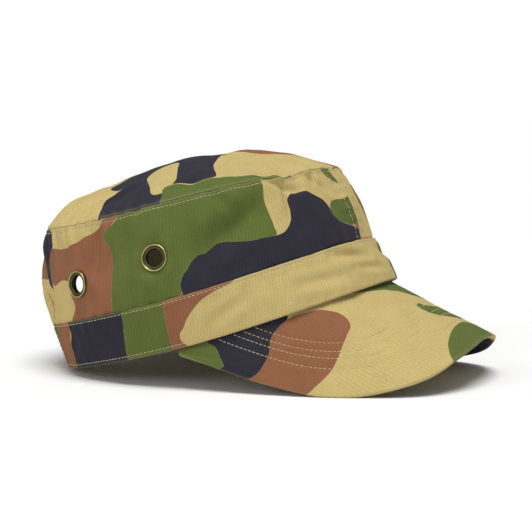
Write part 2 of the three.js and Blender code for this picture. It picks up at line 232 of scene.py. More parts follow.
# the print: each patch is an outline in the panel's own chart, painted in this order over tan
# walls and band: turn in degrees and share of the height; top: mm as seen from above, with the front at -y;
# peak: share of the way across from its middle, and of the way out from its root
printCharts = {
    "wallRight": [
        ("brown", [(-181,1.06),(-153,1.06),(-150,.9),(-143,.83),(-136,.8),(-129,.78),(-122,.79),(-116,.84),
            (-111,.87),(-107,.95),(-101,1.03),(-97.5,1),(-102,.9),(-105,.83),(-103,.7),(-102.5,.5),(-103.5,.25),
            (-105,.05),(-105.5,-.06),(-124,-.06),(-126.5,0),(-124,.13),(-125,.3),(-127,.43),(-131,.45),
            (-134,.42),(-138,.4),(-143,.43),(-148,.47),(-154,.49),(-159,.5),(-165,.5),(-171,.52),(-181,.52)]),
        ("tan", [(-163,1.05),(-162,.95),(-160,.91),(-157,.92),(-156,1.05)]),
        ("navy", [(-157,1),(-150,1.02),(-143,1),(-140.5,.88),(-141,.78),(-142,.62),(-143.5,.48),(-145,.39),
            (-147,.365),(-149,.42),(-150.5,.56),(-152,.68),(-153.5,.8),(-155,.9)]),
        ("green", [(-97,1.05),(-41,1.05),(-41,.75),(-41,.42),(-42,-.06),(-105.5,-.06),(-105,.05),(-103.5,.25),
            (-102.5,.5),(-103,.7),(-105,.83),(-102,.9),(-98,.97)]),
        ("brown", [(-83,-.06),(-76,.03),(-66,.035),(-59,.02),(-55,-.02),(-60,-.06)]),
        ("navy", [(-76.5,0),(-77,.1),(-75.5,.2),(-73.5,.25),(-72,.31),(-70.5,.35),(-69,.375),(-66,.37),(-64,.4),
            (-61,.44),(-56,.41),(-50,.35),(-45,.34),(-41,.325),(-39.5,.33),(-37.5,.35),(-34.5,.44),(-32.5,.56),
            (-31.5,.7),(-30,.77),(-27.5,.8),(-24,.79),(-20.5,.74),(-17.5,.65),(-15.5,.55),(-14.5,.45),(-14,.36),
            (-12,.29),(-8,.24),(-3,.18),(1,.12),(1,-.06),(-60,-.06)]),
        ("green", [(-14.5,.47),(-12.5,.55),(-9,.575),(-4,.56),(1,.56),(1,.19),(-4,.2),(-8,.245),(-12,.29),
            (-14,.36)]),
        ("brown", [(-2.5,.2),(1,.2),(1,.13),(-2.5,.14)]),
        ("green", [(-8,1.05),(1,1.05),(1,.73),(-2,.8),(-4.5,.88),(-7,.96)])],
    "wallLeft": [
        ("green", [(13,.98),(17,.95),(22,.9),(22.5,.86),(17,.9),(13,.95)]),
        ("brown", [(22,.88),(20,.78),(19.3,.65),(19,.52),(19.8,.38),(21.3,.23),(24,.1),(26,.03),(28,-.06),
            (37,-.06),(37.5,.05),(39.5,.14),(43.3,.26),(46.3,.4),(50,.55),(53.5,.68),(53.5,.83),(52,.92),
            (49,.97),(45,.94),(41,.89),(37.5,.85),(35.5,.91),(33,.95),(30,.975),(27,.965),(24.5,.93)]),
        ("brown", [(41,.14),(45,.06),(51,-.02),(52,-.06),(37,-.06),(38.5,.03)]),
        ("navy", [(52.5,.97),(55,.88),(59,.8),(65,.66),(72,.6),(80,.66),(90,.7),(100,.74),(108,.8),(110,.92),
            (108,1.05),(53,1.05)]),
        ("green", [(60,.5),(64,.4),(70,.3),(78,.27),(84,.33),(83,.43),(76,.5),(68,.56),(62,.57)]),
        ("navy", [(115,.97),(119,1.04),(150,1.05),(154,.93),(158,.88),(161.5,.83),(163.7,.74),(164.5,.66),
            (163,.6),(160,.59),(156.5,.56),(153.5,.5),(150.5,.44),(148,.49),(145.6,.52),(143.3,.59),(141.3,.68),
            (138.8,.76),(135.3,.79),(132,.68),(131,.6),(127.5,.59),(120.5,.59),(113,.57),(110,.62),(112,.8)]),
        ("navy", [(109,.28),(114,.27),(120,.26),(126,.3),(130,.33),(133,.33),(134.5,.28),(133.6,.2),(134,.1),
            (136,-.06),(108,-.06),(107,.1)]),
        ("brown", [(135.3,.79),(138.8,.76),(141.3,.68),(143.3,.59),(145.6,.52),(148,.49),(150.5,.44),(153,.4),
            (153,-.06),(136,-.06),(134,.1),(133.6,.2),(134.5,.28),(135.8,.38),(135,.47),(132.5,.55),(131.3,.62),
            (132.5,.7)]),
        ("brown", [(150,1.05),(152.5,1.05),(152.5,.96),(151.3,.92),(150,.96)]),
        ("brown", [(160,.58),(164.4,.63),(168,.68),(171,.72),(173.5,.77),(175.5,.71),(178,.67),(181,.66),
            (181,.4),(181,-.06),(150,-.06),(150,.4)])],
    "band": [
        ("brown", [(-155,1.05),(-128.5,1.05),(-129.5,.75),(-132,.5),(-133,-.06),(-155,-.06)]),
        ("green", [(-156,1.05),(-143,1.05),(-141.5,.85),(-145,.65),(-150,.58),(-156,.62)]),
        ("navy", [(-128.5,1.05),(-100.5,1.05),(-102,.75),(-103,.5),(-104,.2),(-104,-.06),(-133,-.06),(-133,.1),
            (-132,.5),(-129,.75)]),
        ("green", [(-100.5,1.05),(-83.5,1.05),(-85,.7),(-85.5,.4),(-85,-.06),(-104,-.06),(-104,.2),(-103,.5),
            (-102,.75)]),
        ("brown", [(-83.5,1.05),(-58,1.05),(-60,.96),(-66,.9),(-71,.81),(-74.5,.68),(-77.5,.53),(-79.5,.38),
            (-81.5,.27),(-81.5,.14),(-80,.03),(-79.5,-.06),(-85,-.06),(-85.5,.4),(-85,.7)]),
        ("green", [(16.5,1.05),(37,1.05),(36,.6),(36,.42),(37.5,-.06),(14,-.06),(15,.5)]),
        ("tan", [(26.5,.36),(28,.2),(29,-.06),(24.6,-.06),(25,.2)]),
        ("brown", [(36.8,1.05),(48,1.05),(47.5,.6),(48.5,.2),(49,-.06),(44,-.06),(41,.15),(38,.3),(36,.43),
            (36.2,.7)]),
        ("green", [(48,1.05),(82,1.05),(80,.7),(77,.4),(79,.1),(80,-.06),(49,-.06),(48.5,.2),(47.5,.6)]),
        ("brown", [(108,1.05),(134,1.05),(135,.85),(138,.68),(142,.58),(147,.5),(152,.5),(152,-.06),(112,-.06),
            (108,.3),(106,.7)]),
        ("green", [(133.5,1.05),(155,1.05),(154,.6),(150,.44),(145,.47),(138.5,.66),(135.5,.83)]),
        ("brown", [(149.5,1.05),(155,1.05),(155,-.06),(149.5,-.06)])],
    "top": [
        ("brown", [(-2,-4),(-6,-1),(-9,5),(-10.5,14),(-10.7,26),(-9.5,38),(-5,45),(0,49.5),(1,53),(-2,56),
            (-8,57),(-13,54.5),(-18,51),(-21.5,51),(-24,55),(-25,63),(-27,69),(-31,74),(-36,80),(-38,95),
            (12,95),(14,80),(19.5,74),(23,69),(28,65.5),(34,65.5),(35,60),(32,50),(33,42),(35,33),(33.5,26),
            (29,18),(20,13),(10,18.5),(1,17),(-1,8)]),
        ("green", [(72,46),(69,40),(66,33),(62,29),(58.5,29),(56,36),(54,45),(52,53),(50.5,49),(48,42),
            (43,39.5),(37,41),(31,43),(23,46),(16.5,50),(11,58),(17.5,55),(24,52.5),(28.5,53.5),(32,58),
            (34.5,63),(37,66.5),(37.5,69.5),(35,74),(36,90),(75,60)]),
        ("navy", [(12,-10),(0,-8),(-6,-4),(-9,4),(-14,15),(-20,23),(-28,29),(-35,31),(-41,28),(-45,22),(-47,16),
            (-52,14),(-57,17),(-62,22),(-68,23),(-85,22),(-85,-22),(-68,-16),(-63,-14),(-61,-22),(-60,-34),
            (-58,-42),(-48,-38),(-38,-34),(-30,-33),(-20,-32),(-13,-32),(-8,-28),(0,-24),(10,-20)]),
        ("tan", [(-31,2),(-27,-7),(-33,-12),(-40,-14),(-50,-17),(-58,-19),(-64,-17),(-68,-14),(-67,-8),(-59,-4),
            (-52,0),(-46,3),(-38,6)]),
        ("green", [(-85,-20),(-70,-15),(-64,-14),(-62,-18),(-61,-31),(-60,-38),(-58,-46),(-52,-61),(-43,-69),
            (-33,-75),(-30,-90),(-70,-80)]),
        ("brown", [(-10,-49),(-5,-54),(2.5,-58),(9.5,-63),(13,-69),(16,-77),(18,-90),(29,-90),(30,-78),
            (32.5,-70),(36,-62),(41,-58),(45,-62),(48,-66),(53,-61),(60,-55),(68,-44),(80,-36),(72,-28),
            (62,-20),(57,-10),(53,-1),(48,2),(42,-2),(37,-12),(25,-20),(15,-25),(0,-29),(-9,-36)]),
        ("green", [(-7,-90),(-6,-83.2),(4,-83.5),(14,-82),(16,-90)])],
    "peak": [
        ("green", [(-1.05,-.05),(-.86,-.05),(-.855,.2),(-.865,.4),(-.88,.75),(-.9,1.05),(-1.05,1.05)]),
        ("navy", [(-.86,-.05),(-.53,-.05),(-.54,.03),(-.6,.1),(-.65,.2),(-.693,.38),(-.745,.57),(-.82,.9),
            (-.84,1.05),(-.9,1.05),(-.88,.75),(-.865,.4),(-.855,.2)]),
        ("brown", [(-.53,.03),(-.47,.035),(-.42,.05),(-.395,.09),(-.375,.14),(-.375,.22),(-.395,.3),(-.43,.36),
            (-.47,.44),(-.515,.55),(-.565,.68),(-.635,.84),(-.72,1.05),(-.84,1.05),(-.82,.9),(-.745,.57),
            (-.693,.38),(-.65,.2),(-.6,.1)]),
        ("green", [(-.3,-.05),(-.2,.02),(-.1,.07),(-.035,.11),(.015,.16),(.07,.26),(.125,.33),(.185,.41),
            (.225,.475),(.2,.5),(.135,.505),(.16,.56),(.175,.65),(.185,.8),(.175,1.05),(.38,1.05),(.8,1.05),
            (.8,.8),(.73,.6),(.65,.43),(.59,.33),(.5,.22),(.44,.12),(.395,.02),(.39,-.05)]),
        ("tan", [(.27,.21),(.258,.26),(.255,.33),(.258,.46),(.275,.6),(.295,.77),(.3,.85),(.28,.89),(.24,.94),
            (.2,1.05),(.38,1.05),(.375,.96),(.36,.8),(.35,.65),(.335,.5),(.322,.36),(.3,.25),(.285,.215)]),
        ("green", [(-.072,.48),(-.068,.42),(-.05,.375),(-.025,.37),(0,.42),(.03,.46),(.085,.51),(.08,.6),
            (.085,.72),(.045,.7),(.005,.665),(-.035,.6),(-.06,.555)]),
        ("green", [(-.26,1.05),(-.245,.95),(-.225,.9),(-.19,.84),(-.14,.79),(-.08,.76),(0,.755),(.05,.78),
            (.088,.82),(.088,.9),(.06,1.05)])],
    "peakUnder": [
        ("navy", [(.2,1.05),(.25,.8),(.33,.6),(.45,.45),(.56,.5),(.62,.7),(.6,.9),(.62,1.05)]),
        ("brown", [(.62,1.05),(.6,.9),(.62,.7),(.72,.6),(.8,.7),(.79,1.05)]),
        ("green", [(-.1,.1),(0,.3),(.1,.5),(.02,.7),(-.15,.75),(-.3,.6),(-.35,.35),(-.25,.15)]),
        ("brown", [(-.95,.1),(-.7,.2),(-.6,.5),(-.65,.8),(-.62,1.05),(-.9,1.05)]),
        ("navy", [(-.5,.9),(-.35,.85),(-.2,.92),(-.1,1.05),(-.5,1.05)])],
}
chartScale = {"wallRight": wallMm, "wallLeft": wallMm, "band": bandMm, "top": (1, 1), "peak": peakMm,
              "peakUnder": peakMm}
inks = ("green", "brown", "navy")
inkReach = 5.0  # distances to an ink's edge are kept up to here, in mm


def insideBy(points, outline):
    # distance inside a closed outline, in chart millimetres
    result = np.full(len(points), -inkReach)
    low, high = outline.min(0) - inkReach, outline.max(0) + inkReach
    near = np.nonzero(((points > low) & (points < high)).all(1))[0]
    if not len(near):
        return result
    p = points[near][:, None]
    a, b = outline[None], np.roll(outline, -1, 0)[None]
    ab = b - a
    t = np.clip(((p - a) * ab).sum(-1) / np.maximum((ab * ab).sum(-1), 1e-9), 0, 1)
    away = np.sqrt((((p - a) - t[..., None] * ab) ** 2).sum(-1)).min(1)
    crosses = (a[..., 1] > p[..., 1]) != (b[..., 1] > p[..., 1])
    with np.errstate(divide="ignore", invalid="ignore"):
        at = a[..., 0] + (p[..., 1] - a[..., 1]) * ab[..., 0] / ab[..., 1]
    inside = (crosses & (p[..., 0] < at)).sum(1) % 2 == 1
    result[near] = np.clip(np.where(inside, away, -away), -inkReach, inkReach)
    return result


def printOf(chart, chartAt):
    # signed distance to each ink's edge, for every point of a grid
    points = chartAt.reshape(-1, 2)
    depths = {ink: np.full(len(points), -inkReach) for ink in inks}
    for colour, outline in printCharts[chart]:
        depth = insideBy(points, smoothLine(np.array(outline) * chartScale[chart], True, 5))
        for ink in inks:
            depths[ink] = np.maximum(depths[ink], depth) if ink == colour else np.minimum(depths[ink], -depth)
    return {ink: depths[ink].reshape(chartAt.shape[:2]) for ink in inks}


def newPiece(name, points, faces, *finishes):
    mesh = bpy.data.meshes.new(name)
    mesh.from_pydata(toWorld(np.array(points)).tolist(), [], faces)
    mesh.shade_smooth()
    for finish in finishes:
        mesh.materials.append(finish)
    made = bpy.data.objects.new(name, mesh)
    scene.collection.objects.link(made)
    return made


def pointValues(mesh, title, values, kind="FLOAT", field="value"):
    mesh.attributes.new(title, kind, "POINT").data.foreach_set(field, np.ravel(values).astype(np.float32))


def clothPiece(name, outer, inner, chartAt, inkOf, worn, materials, keep=None, ring=False, middle=False,
               under=None):
    # closed cloth between two grids: chartAt in millimetres, worn 0 to 1, keep marks the cells that stay
    m, n = outer.shape[:2]
    cells = np.ones((m if ring else m - 1, n - 1), bool) if keep is None else keep
    points = np.concatenate([outer.reshape(-1, 3), inner.reshape(-1, 3)])
    total = m * n
    columns = cells.shape[0]
    at = lambda i, j: (i % m) * n + j
    faces, inside = [], []
    for i in range(columns):
        for j in range(n - 1):
            if cells[i, j]:
                a, b, c, d = at(i, j), at(i + 1, j), at(i + 1, j + 1), at(i, j + 1)
                faces += [(a, b, c, d), (a + total, d + total, c + total, b + total)]
                inside += [0, 1]
    for i in range(columns):  # close every open edge between the outer and the inner grid
        for j in range(n - 1):
            if not cells[i, j]:
                continue
            sides = (((i, j - 1), at(i, j), at(i + 1, j)), ((i, j + 1), at(i + 1, j + 1), at(i, j + 1)),
                     ((i + 1, j), at(i + 1, j), at(i + 1, j + 1)), ((i - 1, j), at(i, j + 1), at(i, j)))
            for (p, q), a, b in sides:
                p = p % columns if ring else p
                beside = 0 <= p < columns and 0 <= q < n - 1 and cells[p, q]
                if not beside and not (middle and q < 0):
                    faces.append((b, a, a + total, b + total))
                    inside.append(0)
    if middle:
        points = np.vstack([points, outer[:, 0].mean(0), inner[:, 0].mean(0)])
        hub = 2 * total
        for i in range(m):
            faces += [(hub, at(i + 1, 0), at(i, 0)), (hub + 1, at(i, 0) + total, at(i + 1, 0) + total)]
            inside += [0, 1]
    made = newPiece(name, points, faces, *materials)
    mesh = made.data
    mesh.polygons.foreach_set("material_index", inside)

    def both(values, below=None):
        below = values if below is None else below
        values = np.concatenate([values.reshape(total, -1), below.reshape(total, -1)])
        if middle:
            values = np.vstack([values, np.repeat(values[:total:n].mean(0, keepdims=True), 2, 0)])
        return values

    place = both(chartAt)
    pointValues(mesh, "clothAt", np.column_stack([place, np.zeros(len(place))]), "FLOAT_VECTOR", "vector")
    pointValues(mesh, "wornAt", both(worn))
    for ink in inks:
        pointValues(mesh, ink + "Ink", both(inkOf[ink], under and under[ink]))
    loose = sorted(set(range(len(points))) - {v for face in faces for v in face})
    if loose:
        bm = bmesh.new()
        bm.from_mesh(mesh)
        bm.verts.ensure_lookup_table()
        bmesh.ops.delete(bm, geom=[bm.verts[v] for v in loose], context="VERTS")
        bm.to_mesh(mesh)
        bm.free()
    return made


def finished(piece, *nodes):
    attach(piece, "root")
    if nodes:
        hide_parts(*nodes)
    return piece


def linear(code):
    parts = [int(code[i:i + 2], 16) / 255 for i in (1, 3, 5)]
    return tuple(c / 12.92 if c <= 0.04045 else ((c + 0.055) / 1.055) ** 2.4 for c in parts) + (1,)


def addNode(tree, kind, settings=None, inputs=None):
    node = tree.nodes.new(kind)
    for name, value in (settings or {}).items():
        setattr(node, name, value)
    for name, value in (inputs or {}).items():
        if isinstance(value, bpy.types.NodeSocket):
            tree.links.new(value, node.inputs[name])
        else:
            node.inputs[name].default_value = value
    return node


def newMaterial(name):
    made = bpy.data.materials.new(name)
    made.use_nodes = True
    made.node_tree.nodes.clear()
    return made, made.node_tree


twillLook = {
    "tan": "#BFAB70", "green": "#5C6833", "brown": "#8B5D42", "navy": "#2F2D36",
    "reverse": ("#A39D84", "#B0AA92"), "worn": "#B9AE8A", "fade": 0.16,
    "ribMm": 1.7, "ribTilt": 9, "ribShade": (0.94, 1.04),  # real ribs are 0.6 mm apart, coarser so they show
    "slubMm": 0.769, "mottle": 0.14,  # uneven yarn, real slubs are about 0.3 mm, coarser so that they show
    "patchMm": 11.1, "patchiness": 0.05,  # broad patches, from the dye and from handling
    "inkBlurMm": 0.3, "wobbleMm": 0.12, "wobbleEveryMm": 1.82,  # ink edges step over the ribs, as coarse as them
    "roughness": 0.95, "sheen": 0.03, "specular": 0.12, "bump": 0.28, "reliefMm": 0.3,
}


def cottonTwill(name, printed):
    # cotton twill: woven, then screen printed; matt, with fine diagonal ribs and inks that fade where it folds
    made, tree = newMaterial(name)
    look = twillLook
    place = addNode(tree, "ShaderNodeAttribute", {"attribute_name": "clothAt"}).outputs["Vector"]
    worn = addNode(tree, "ShaderNodeAttribute", {"attribute_name": "wornAt"}).outputs["Fac"]
    steep = addNode(tree, "ShaderNodeVectorRotate", {"rotation_type": "Z_AXIS"},
                    {"Vector": place, "Angle": math.radians(look["ribTilt"])}).outputs[0]
    ribs = addNode(tree, "ShaderNodeTexWave", {"wave_type": "BANDS", "bands_direction": "X"}, {
        "Vector": steep, "Scale": 0.314 / look["ribMm"],  # at scale 1 the waves are 0.314 apart
        "Distortion": 0.6, "Detail": 1, "Detail Scale": 1.2}).outputs["Fac"]
    threads, patches = (addNode(tree, "ShaderNodeTexNoise", {}, {
        "Vector": place, "Scale": 1 / look[size], "Detail": 3, "Roughness": 0.6}).outputs["Fac"]
        for size in ("slubMm", "patchMm"))
    if printed:
        wobble = addNode(tree, "ShaderNodeTexNoise", {}, {
            "Vector": place, "Scale": 1 / look["wobbleEveryMm"], "Detail": 2}).outputs["Fac"]
        shift = addNode(tree, "ShaderNodeMath", {"operation": "MULTIPLY_ADD"},
                        {0: wobble, 1: 2 * look["wobbleMm"], 2: -look["wobbleMm"]}).outputs[0]
        colour = linear(look["tan"])
        for ink in inks:
            depth = addNode(tree, "ShaderNodeAttribute", {"attribute_name": ink + "Ink"}).outputs["Fac"]
            depth = addNode(tree, "ShaderNodeMath", {"operation": "ADD"}, {0: depth, 1: shift}).outputs[0]
            cover = addNode(tree, "ShaderNodeMapRange", {"interpolation_type": "SMOOTHSTEP"}, {
                "Value": depth, "From Min": -look["inkBlurMm"] / 2, "From Max": look["inkBlurMm"] / 2,
            }).outputs["Result"]
            colour = addNode(tree, "ShaderNodeMix", {"data_type": "RGBA"},
                             {"Factor": cover, 6: colour, 7: linear(look[ink])}).outputs[2]
    else:
        dark, light = look["reverse"]
        colour = addNode(tree, "ShaderNodeMix", {"data_type": "RGBA"},
                         {"Factor": patches, 6: linear(dark), 7: linear(light)}).outputs[2]
    shade = addNode(tree, "ShaderNodeMapRange", {}, {
        "Value": threads, "From Min": 0.25, "From Max": 0.75,
        "To Min": 1 - look["mottle"], "To Max": 1 + look["mottle"]}).outputs["Result"]
    broad = addNode(tree, "ShaderNodeMapRange", {}, {
        "Value": patches, "From Min": 0.3, "From Max": 0.7,
        "To Min": 1 - look["patchiness"], "To Max": 1 + look["patchiness"]}).outputs["Result"]
    weave = addNode(tree, "ShaderNodeMapRange", {}, {
        "Value": ribs, "To Min": look["ribShade"][0], "To Max": look["ribShade"][1]}).outputs["Result"]
    for other in (broad, weave):
        shade = addNode(tree, "ShaderNodeMath", {"operation": "MULTIPLY"}, {0: shade, 1: other}).outputs[0]
    shaded = addNode(tree, "ShaderNodeVectorMath", {"operation": "SCALE"},
                     {0: colour, "Scale": shade}).outputs[0]
    fadeShare = addNode(tree, "ShaderNodeMath", {"operation": "MULTIPLY"},
                        {0: worn, 1: look["fade"]}).outputs[0]
    faded = addNode(tree, "ShaderNodeMix", {"data_type": "RGBA"},
                    {"Factor": fadeShare, 6: shaded, 7: linear(look["worn"])}).outputs[2]
    height = addNode(tree, "ShaderNodeMath", {"operation": "MULTIPLY_ADD"},
                     {0: threads, 1: 0.6, 2: ribs}).outputs[0]
    bump = addNode(tree, "ShaderNodeBump", {},
                   {"Height": height, "Strength": look["bump"], "Distance": look["reliefMm"] / 1000})
    shader = addNode(tree, "ShaderNodeBsdfPrincipled", {}, {
        "Base Color": faded, "Roughness": look["roughness"], "IOR": 1.5, "Specular IOR Level": look["specular"],
        "Sheen Weight": look["sheen"], "Sheen Roughness": 0.5, "Normal": bump.outputs["Normal"]})
    addNode(tree, "ShaderNodeOutputMaterial", {}, {"Surface": shader.outputs[0]})
    return made


threadLook = {
    "dark": "#A4966A", "light": "#D6CAA2", "roughness": 0.6, "sheen": 0.2, "reliefMm": 0.1,
    "twistMm": 1.111,  # real plies are about 0.3 mm apart, coarser so that they show
}


def spunPolyester():
    # spun polyester thread: twisted, cream, with a slight lustre
    made, tree = newMaterial("spunPolyesterThread")
    place = addNode(tree, "ShaderNodeTexCoord").outputs["Object"]
    twist = addNode(tree, "ShaderNodeTexNoise", {},
                    {"Vector": place, "Scale": 1000 / threadLook["twistMm"], "Detail": 2}).outputs["Fac"]
    colour = addNode(tree, "ShaderNodeMix", {"data_type": "RGBA"}, {
        "Factor": twist, 6: linear(threadLook["dark"]), 7: linear(threadLook["light"])}).outputs[2]
    bump = addNode(tree, "ShaderNodeBump", {},
                   {"Height": twist, "Strength": 0.3, "Distance": threadLook["reliefMm"] / 1000})
    shader = addNode(tree, "ShaderNodeBsdfPrincipled", {}, {
        "Base Color": colour, "Roughness": threadLook["roughness"], "IOR": 1.5,
        "Sheen Weight": threadLook["sheen"], "Normal": bump.outputs["Normal"]})
    addNode(tree, "ShaderNodeOutputMaterial", {}, {"Surface": shader.outputs[0]})
    return made


brassLook = {
    "dull": "#4E4A30", "bright": "#B0A66E", "roughness": (0.55, 0.33),  # both from dull to bright
    "spotMm": 2.38, "reliefMm": 0.08,  # real spots of patina are about 0.5 mm, coarser so that they show
}


def antiquedBrass():
    # antiqued brass: stamped, chemically darkened and rubbed back, so rims are bright and grooves dull
    made, tree = newMaterial("antiquedBrass")
    place = addNode(tree, "ShaderNodeTexCoord").outputs["Object"]
    spots = addNode(tree, "ShaderNodeTexNoise", {}, {
        "Vector": place, "Scale": 1000 / brassLook["spotMm"], "Detail": 4, "Roughness": 0.65}).outputs["Fac"]
    rubbed = addNode(tree, "ShaderNodeAttribute", {"attribute_name": "rubbed"}).outputs["Fac"]
    share = addNode(tree, "ShaderNodeMath", {"operation": "MULTIPLY"}, {0: spots, 1: rubbed}).outputs[0]
    share = addNode(tree, "ShaderNodeMapRange", {},
                    {"Value": share, "From Min": 0.1, "From Max": 0.5}).outputs["Result"]
    colour = addNode(tree, "ShaderNodeMix", {"data_type": "RGBA"}, {
        "Factor": share, 6: linear(brassLook["dull"]), 7: linear(brassLook["bright"])}).outputs[2]
    rough = addNode(tree, "ShaderNodeMapRange", {}, {
        "Value": share, "To Min": brassLook["roughness"][0], "To Max": brassLook["roughness"][1],
    }).outputs["Result"]
    bump = addNode(tree, "ShaderNodeBump", {},
                   {"Height": spots, "Strength": 0.25, "Distance": brassLook["reliefMm"] / 1000})
    shader = addNode(tree, "ShaderNodeBsdfPrincipled", {}, {
        "Base Color": colour, "Metallic": 1.0, "Roughness": rough, "Normal": bump.outputs["Normal"]})
    addNode(tree, "ShaderNodeOutputMaterial", {}, {"Surface": shader.outputs[0]})
    return made


printedTwill = cottonTwill("printedCottonTwill", True)
reverseTwill = cottonTwill("cottonTwillReverse", False)
threadFinish = spunPolyester()
brassFinish = antiquedBrass()
print("materials made")

# short lengths of thread laid on the cloth
stitch = {
    "lengthMm": 2.15, "pitchMm": 2.35, "radiusMm": 0.19, "sinkMm": 0.05, "sides": 6,
    # along half a stitch: places from -1 to 1 and shares of the radius
    "profile": [(-1, 0.35), (-0.8, 0.85), (-0.35, 1), (0.35, 1), (0.8, 0.85), (1, 0.35)],
}


def stitching(name, rows):
    # rows holds (points, normals) along each seam, in cap millimetres
    points, faces = [], []
    rng = np.random.default_rng(7)
    ringAt, ringWidth = np.array(stitch["profile"]).T
    sides, last = stitch["sides"], len(ringAt) - 1
    # both ends of a stitch dive into the cloth
    lift = stitch["radiusMm"] * (1 - 2.4 * np.abs(ringAt) ** 6) - stitch["sinkMm"]
    for line, up in rows:
        steps = np.linalg.norm(np.diff(line, axis=0), axis=1)
        reach = np.concatenate([[0], np.cumsum(steps)])
        count = max(int(reach[-1] / stitch["pitchMm"]), 1)
        middles = (np.arange(count) + 0.5) * reach[-1] / count
        for at in middles:
            half = stitch["lengthMm"] / 2 * rng.uniform(0.92, 1.06)
            s = at + ringAt * half
            centre, normal = (np.stack([np.interp(s, reach, grid[:, k]) for k in range(3)], -1)
                              for grid in (line, up))
            normal = unit(normal)
            beside = unit(np.cross(unit(np.gradient(centre, axis=0)), normal))
            centre = centre + normal * lift[:, None]
            first = len(points)
            for i in range(last + 1):
                for j in range(sides):
                    a = 2 * math.pi * j / sides
                    spoke = beside[i] * math.cos(a) + normal[i] * math.sin(a)
                    points.append(centre[i] + spoke * stitch["radiusMm"] * ringWidth[i])
            for i in range(last):
                for j in range(sides):
                    k = (j + 1) % sides
                    faces.append((first + i * sides + k, first + i * sides + j,
                                  first + (i + 1) * sides + j, first + (i + 1) * sides + k))
            faces.append(tuple(first + j for j in range(sides)))
            faces.append(tuple(first + last * sides + j for j in reversed(range(sides))))
    made = newPiece(name, points, faces, threadFinish)
    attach(made, "root")
    return made


sidePanel = {
    "thickMm": 1.4, "seamRowMm": 1.8, "frontRowMm": 5, "backRowMm": 6,  # stitched rows, from their seams
    "foldMm": 3.3, "creaseMm": 1.0, "puckerMm": 0.45, "flapMm": 0.45,
    "allowanceMm": 1.2, "underHemMm": 0.9,  # how far in it goes behind the band, and under the hem of the arch
    "holeMm": 6.1, "flatMm": 10,  # radius cut out for each eyelet, and of the flat cloth round it
    "creases": [  # turn and height of both ends, depth and width in mm
        (-42, 0.72, -68, 0.38, 2.8, 6.5), (-88, 0.95, -96, 0.5, 1.0, 5), (-107, 1.0, -111, 0.45, 1.3, 3.6),
        (-116, 0.95, -119, 0.65, 0.9, 3), (-127, 1.02, -124, 0.78, 0.9, 2.2), (-136, 1.02, -133, 0.8, 0.9, 2.2),
        (-141, 1.02, -137, 0.5, 1.0, 2.6), (-150, 1.02, -145, 0.7, 1.1, 2.6), (-158, 0.9, -150, 0.5, 1.4, 4),
        (-38, 1.0, -24, 0.8, 1.5, 2.4), (-30, 0.95, -33, 0.55, 1.2, 2.6), (-20, 1.02, -10, 0.7, 1.2, 2.4),
        (-12, 1.02, -17, 0.85, 0.9, 2.4), (-58, 0.98, -54, 0.75, 1.0, 3), (12, 1.02, 18, 0.8, 1.1, 3),
        (24, 1.02, 22, 0.84, 0.8, 2.4), (32, 1.0, 38, 0.5, 2.6, 3.4), (62, 0.9, 76, 0.5, 1.4, 5),
        (100, 0.95, 105, 0.4, 1.2, 4), (131, 0.98, 124, 0.55, 1.2, 3.6), (141, 1.02, 138, 0.82, 0.8, 2.2),
        (152, 0.9, 158, 0.6, 1.0, 3)],
}
eyelets = [  # name, turn, height
    ("left_front", 84, 0.46), ("left_rear", 119, 0.38), ("right_front", -84, 0.46), ("right_rear", -119, 0.38)]
archMm = {  # the opening at the back
    "half": 42, "shift": 3,  # half its width, and how far it is moved to the wearer's left
    "top": 53, "spring": 26, "power": 2.6,  # its top, where its curve starts and how square it is
    "width": 8.5, "cut": 4,  # of its hem, and how far in under the hem the wall is cut
}


def seamWave(a):
    # puckers along the top seam, uneven in length and height
    uneven = 0.45 + 0.75 * np.clip(ripple(a, a * 0, (21, 21), 9.4) + 0.35, 0, 1.4)
    return uneven * np.sin(a * 2 * np.pi / 11 + 3 * ripple(a, a * 0, (30, 30), 5.2))


def seamWander(turn):
    # how far the top seam leaves its level, in mm: it dips beside the front seam
    around = turn * wallMm[0]
    return (-1.9 * bell((turn + 27) / 5.5) + 0.7 * bell((turn + 14) / 6) - 1.2 * bell((turn - 33) / 6)
            + 0.35 * ripple(around, around * 0, (34, 34), 6.9))


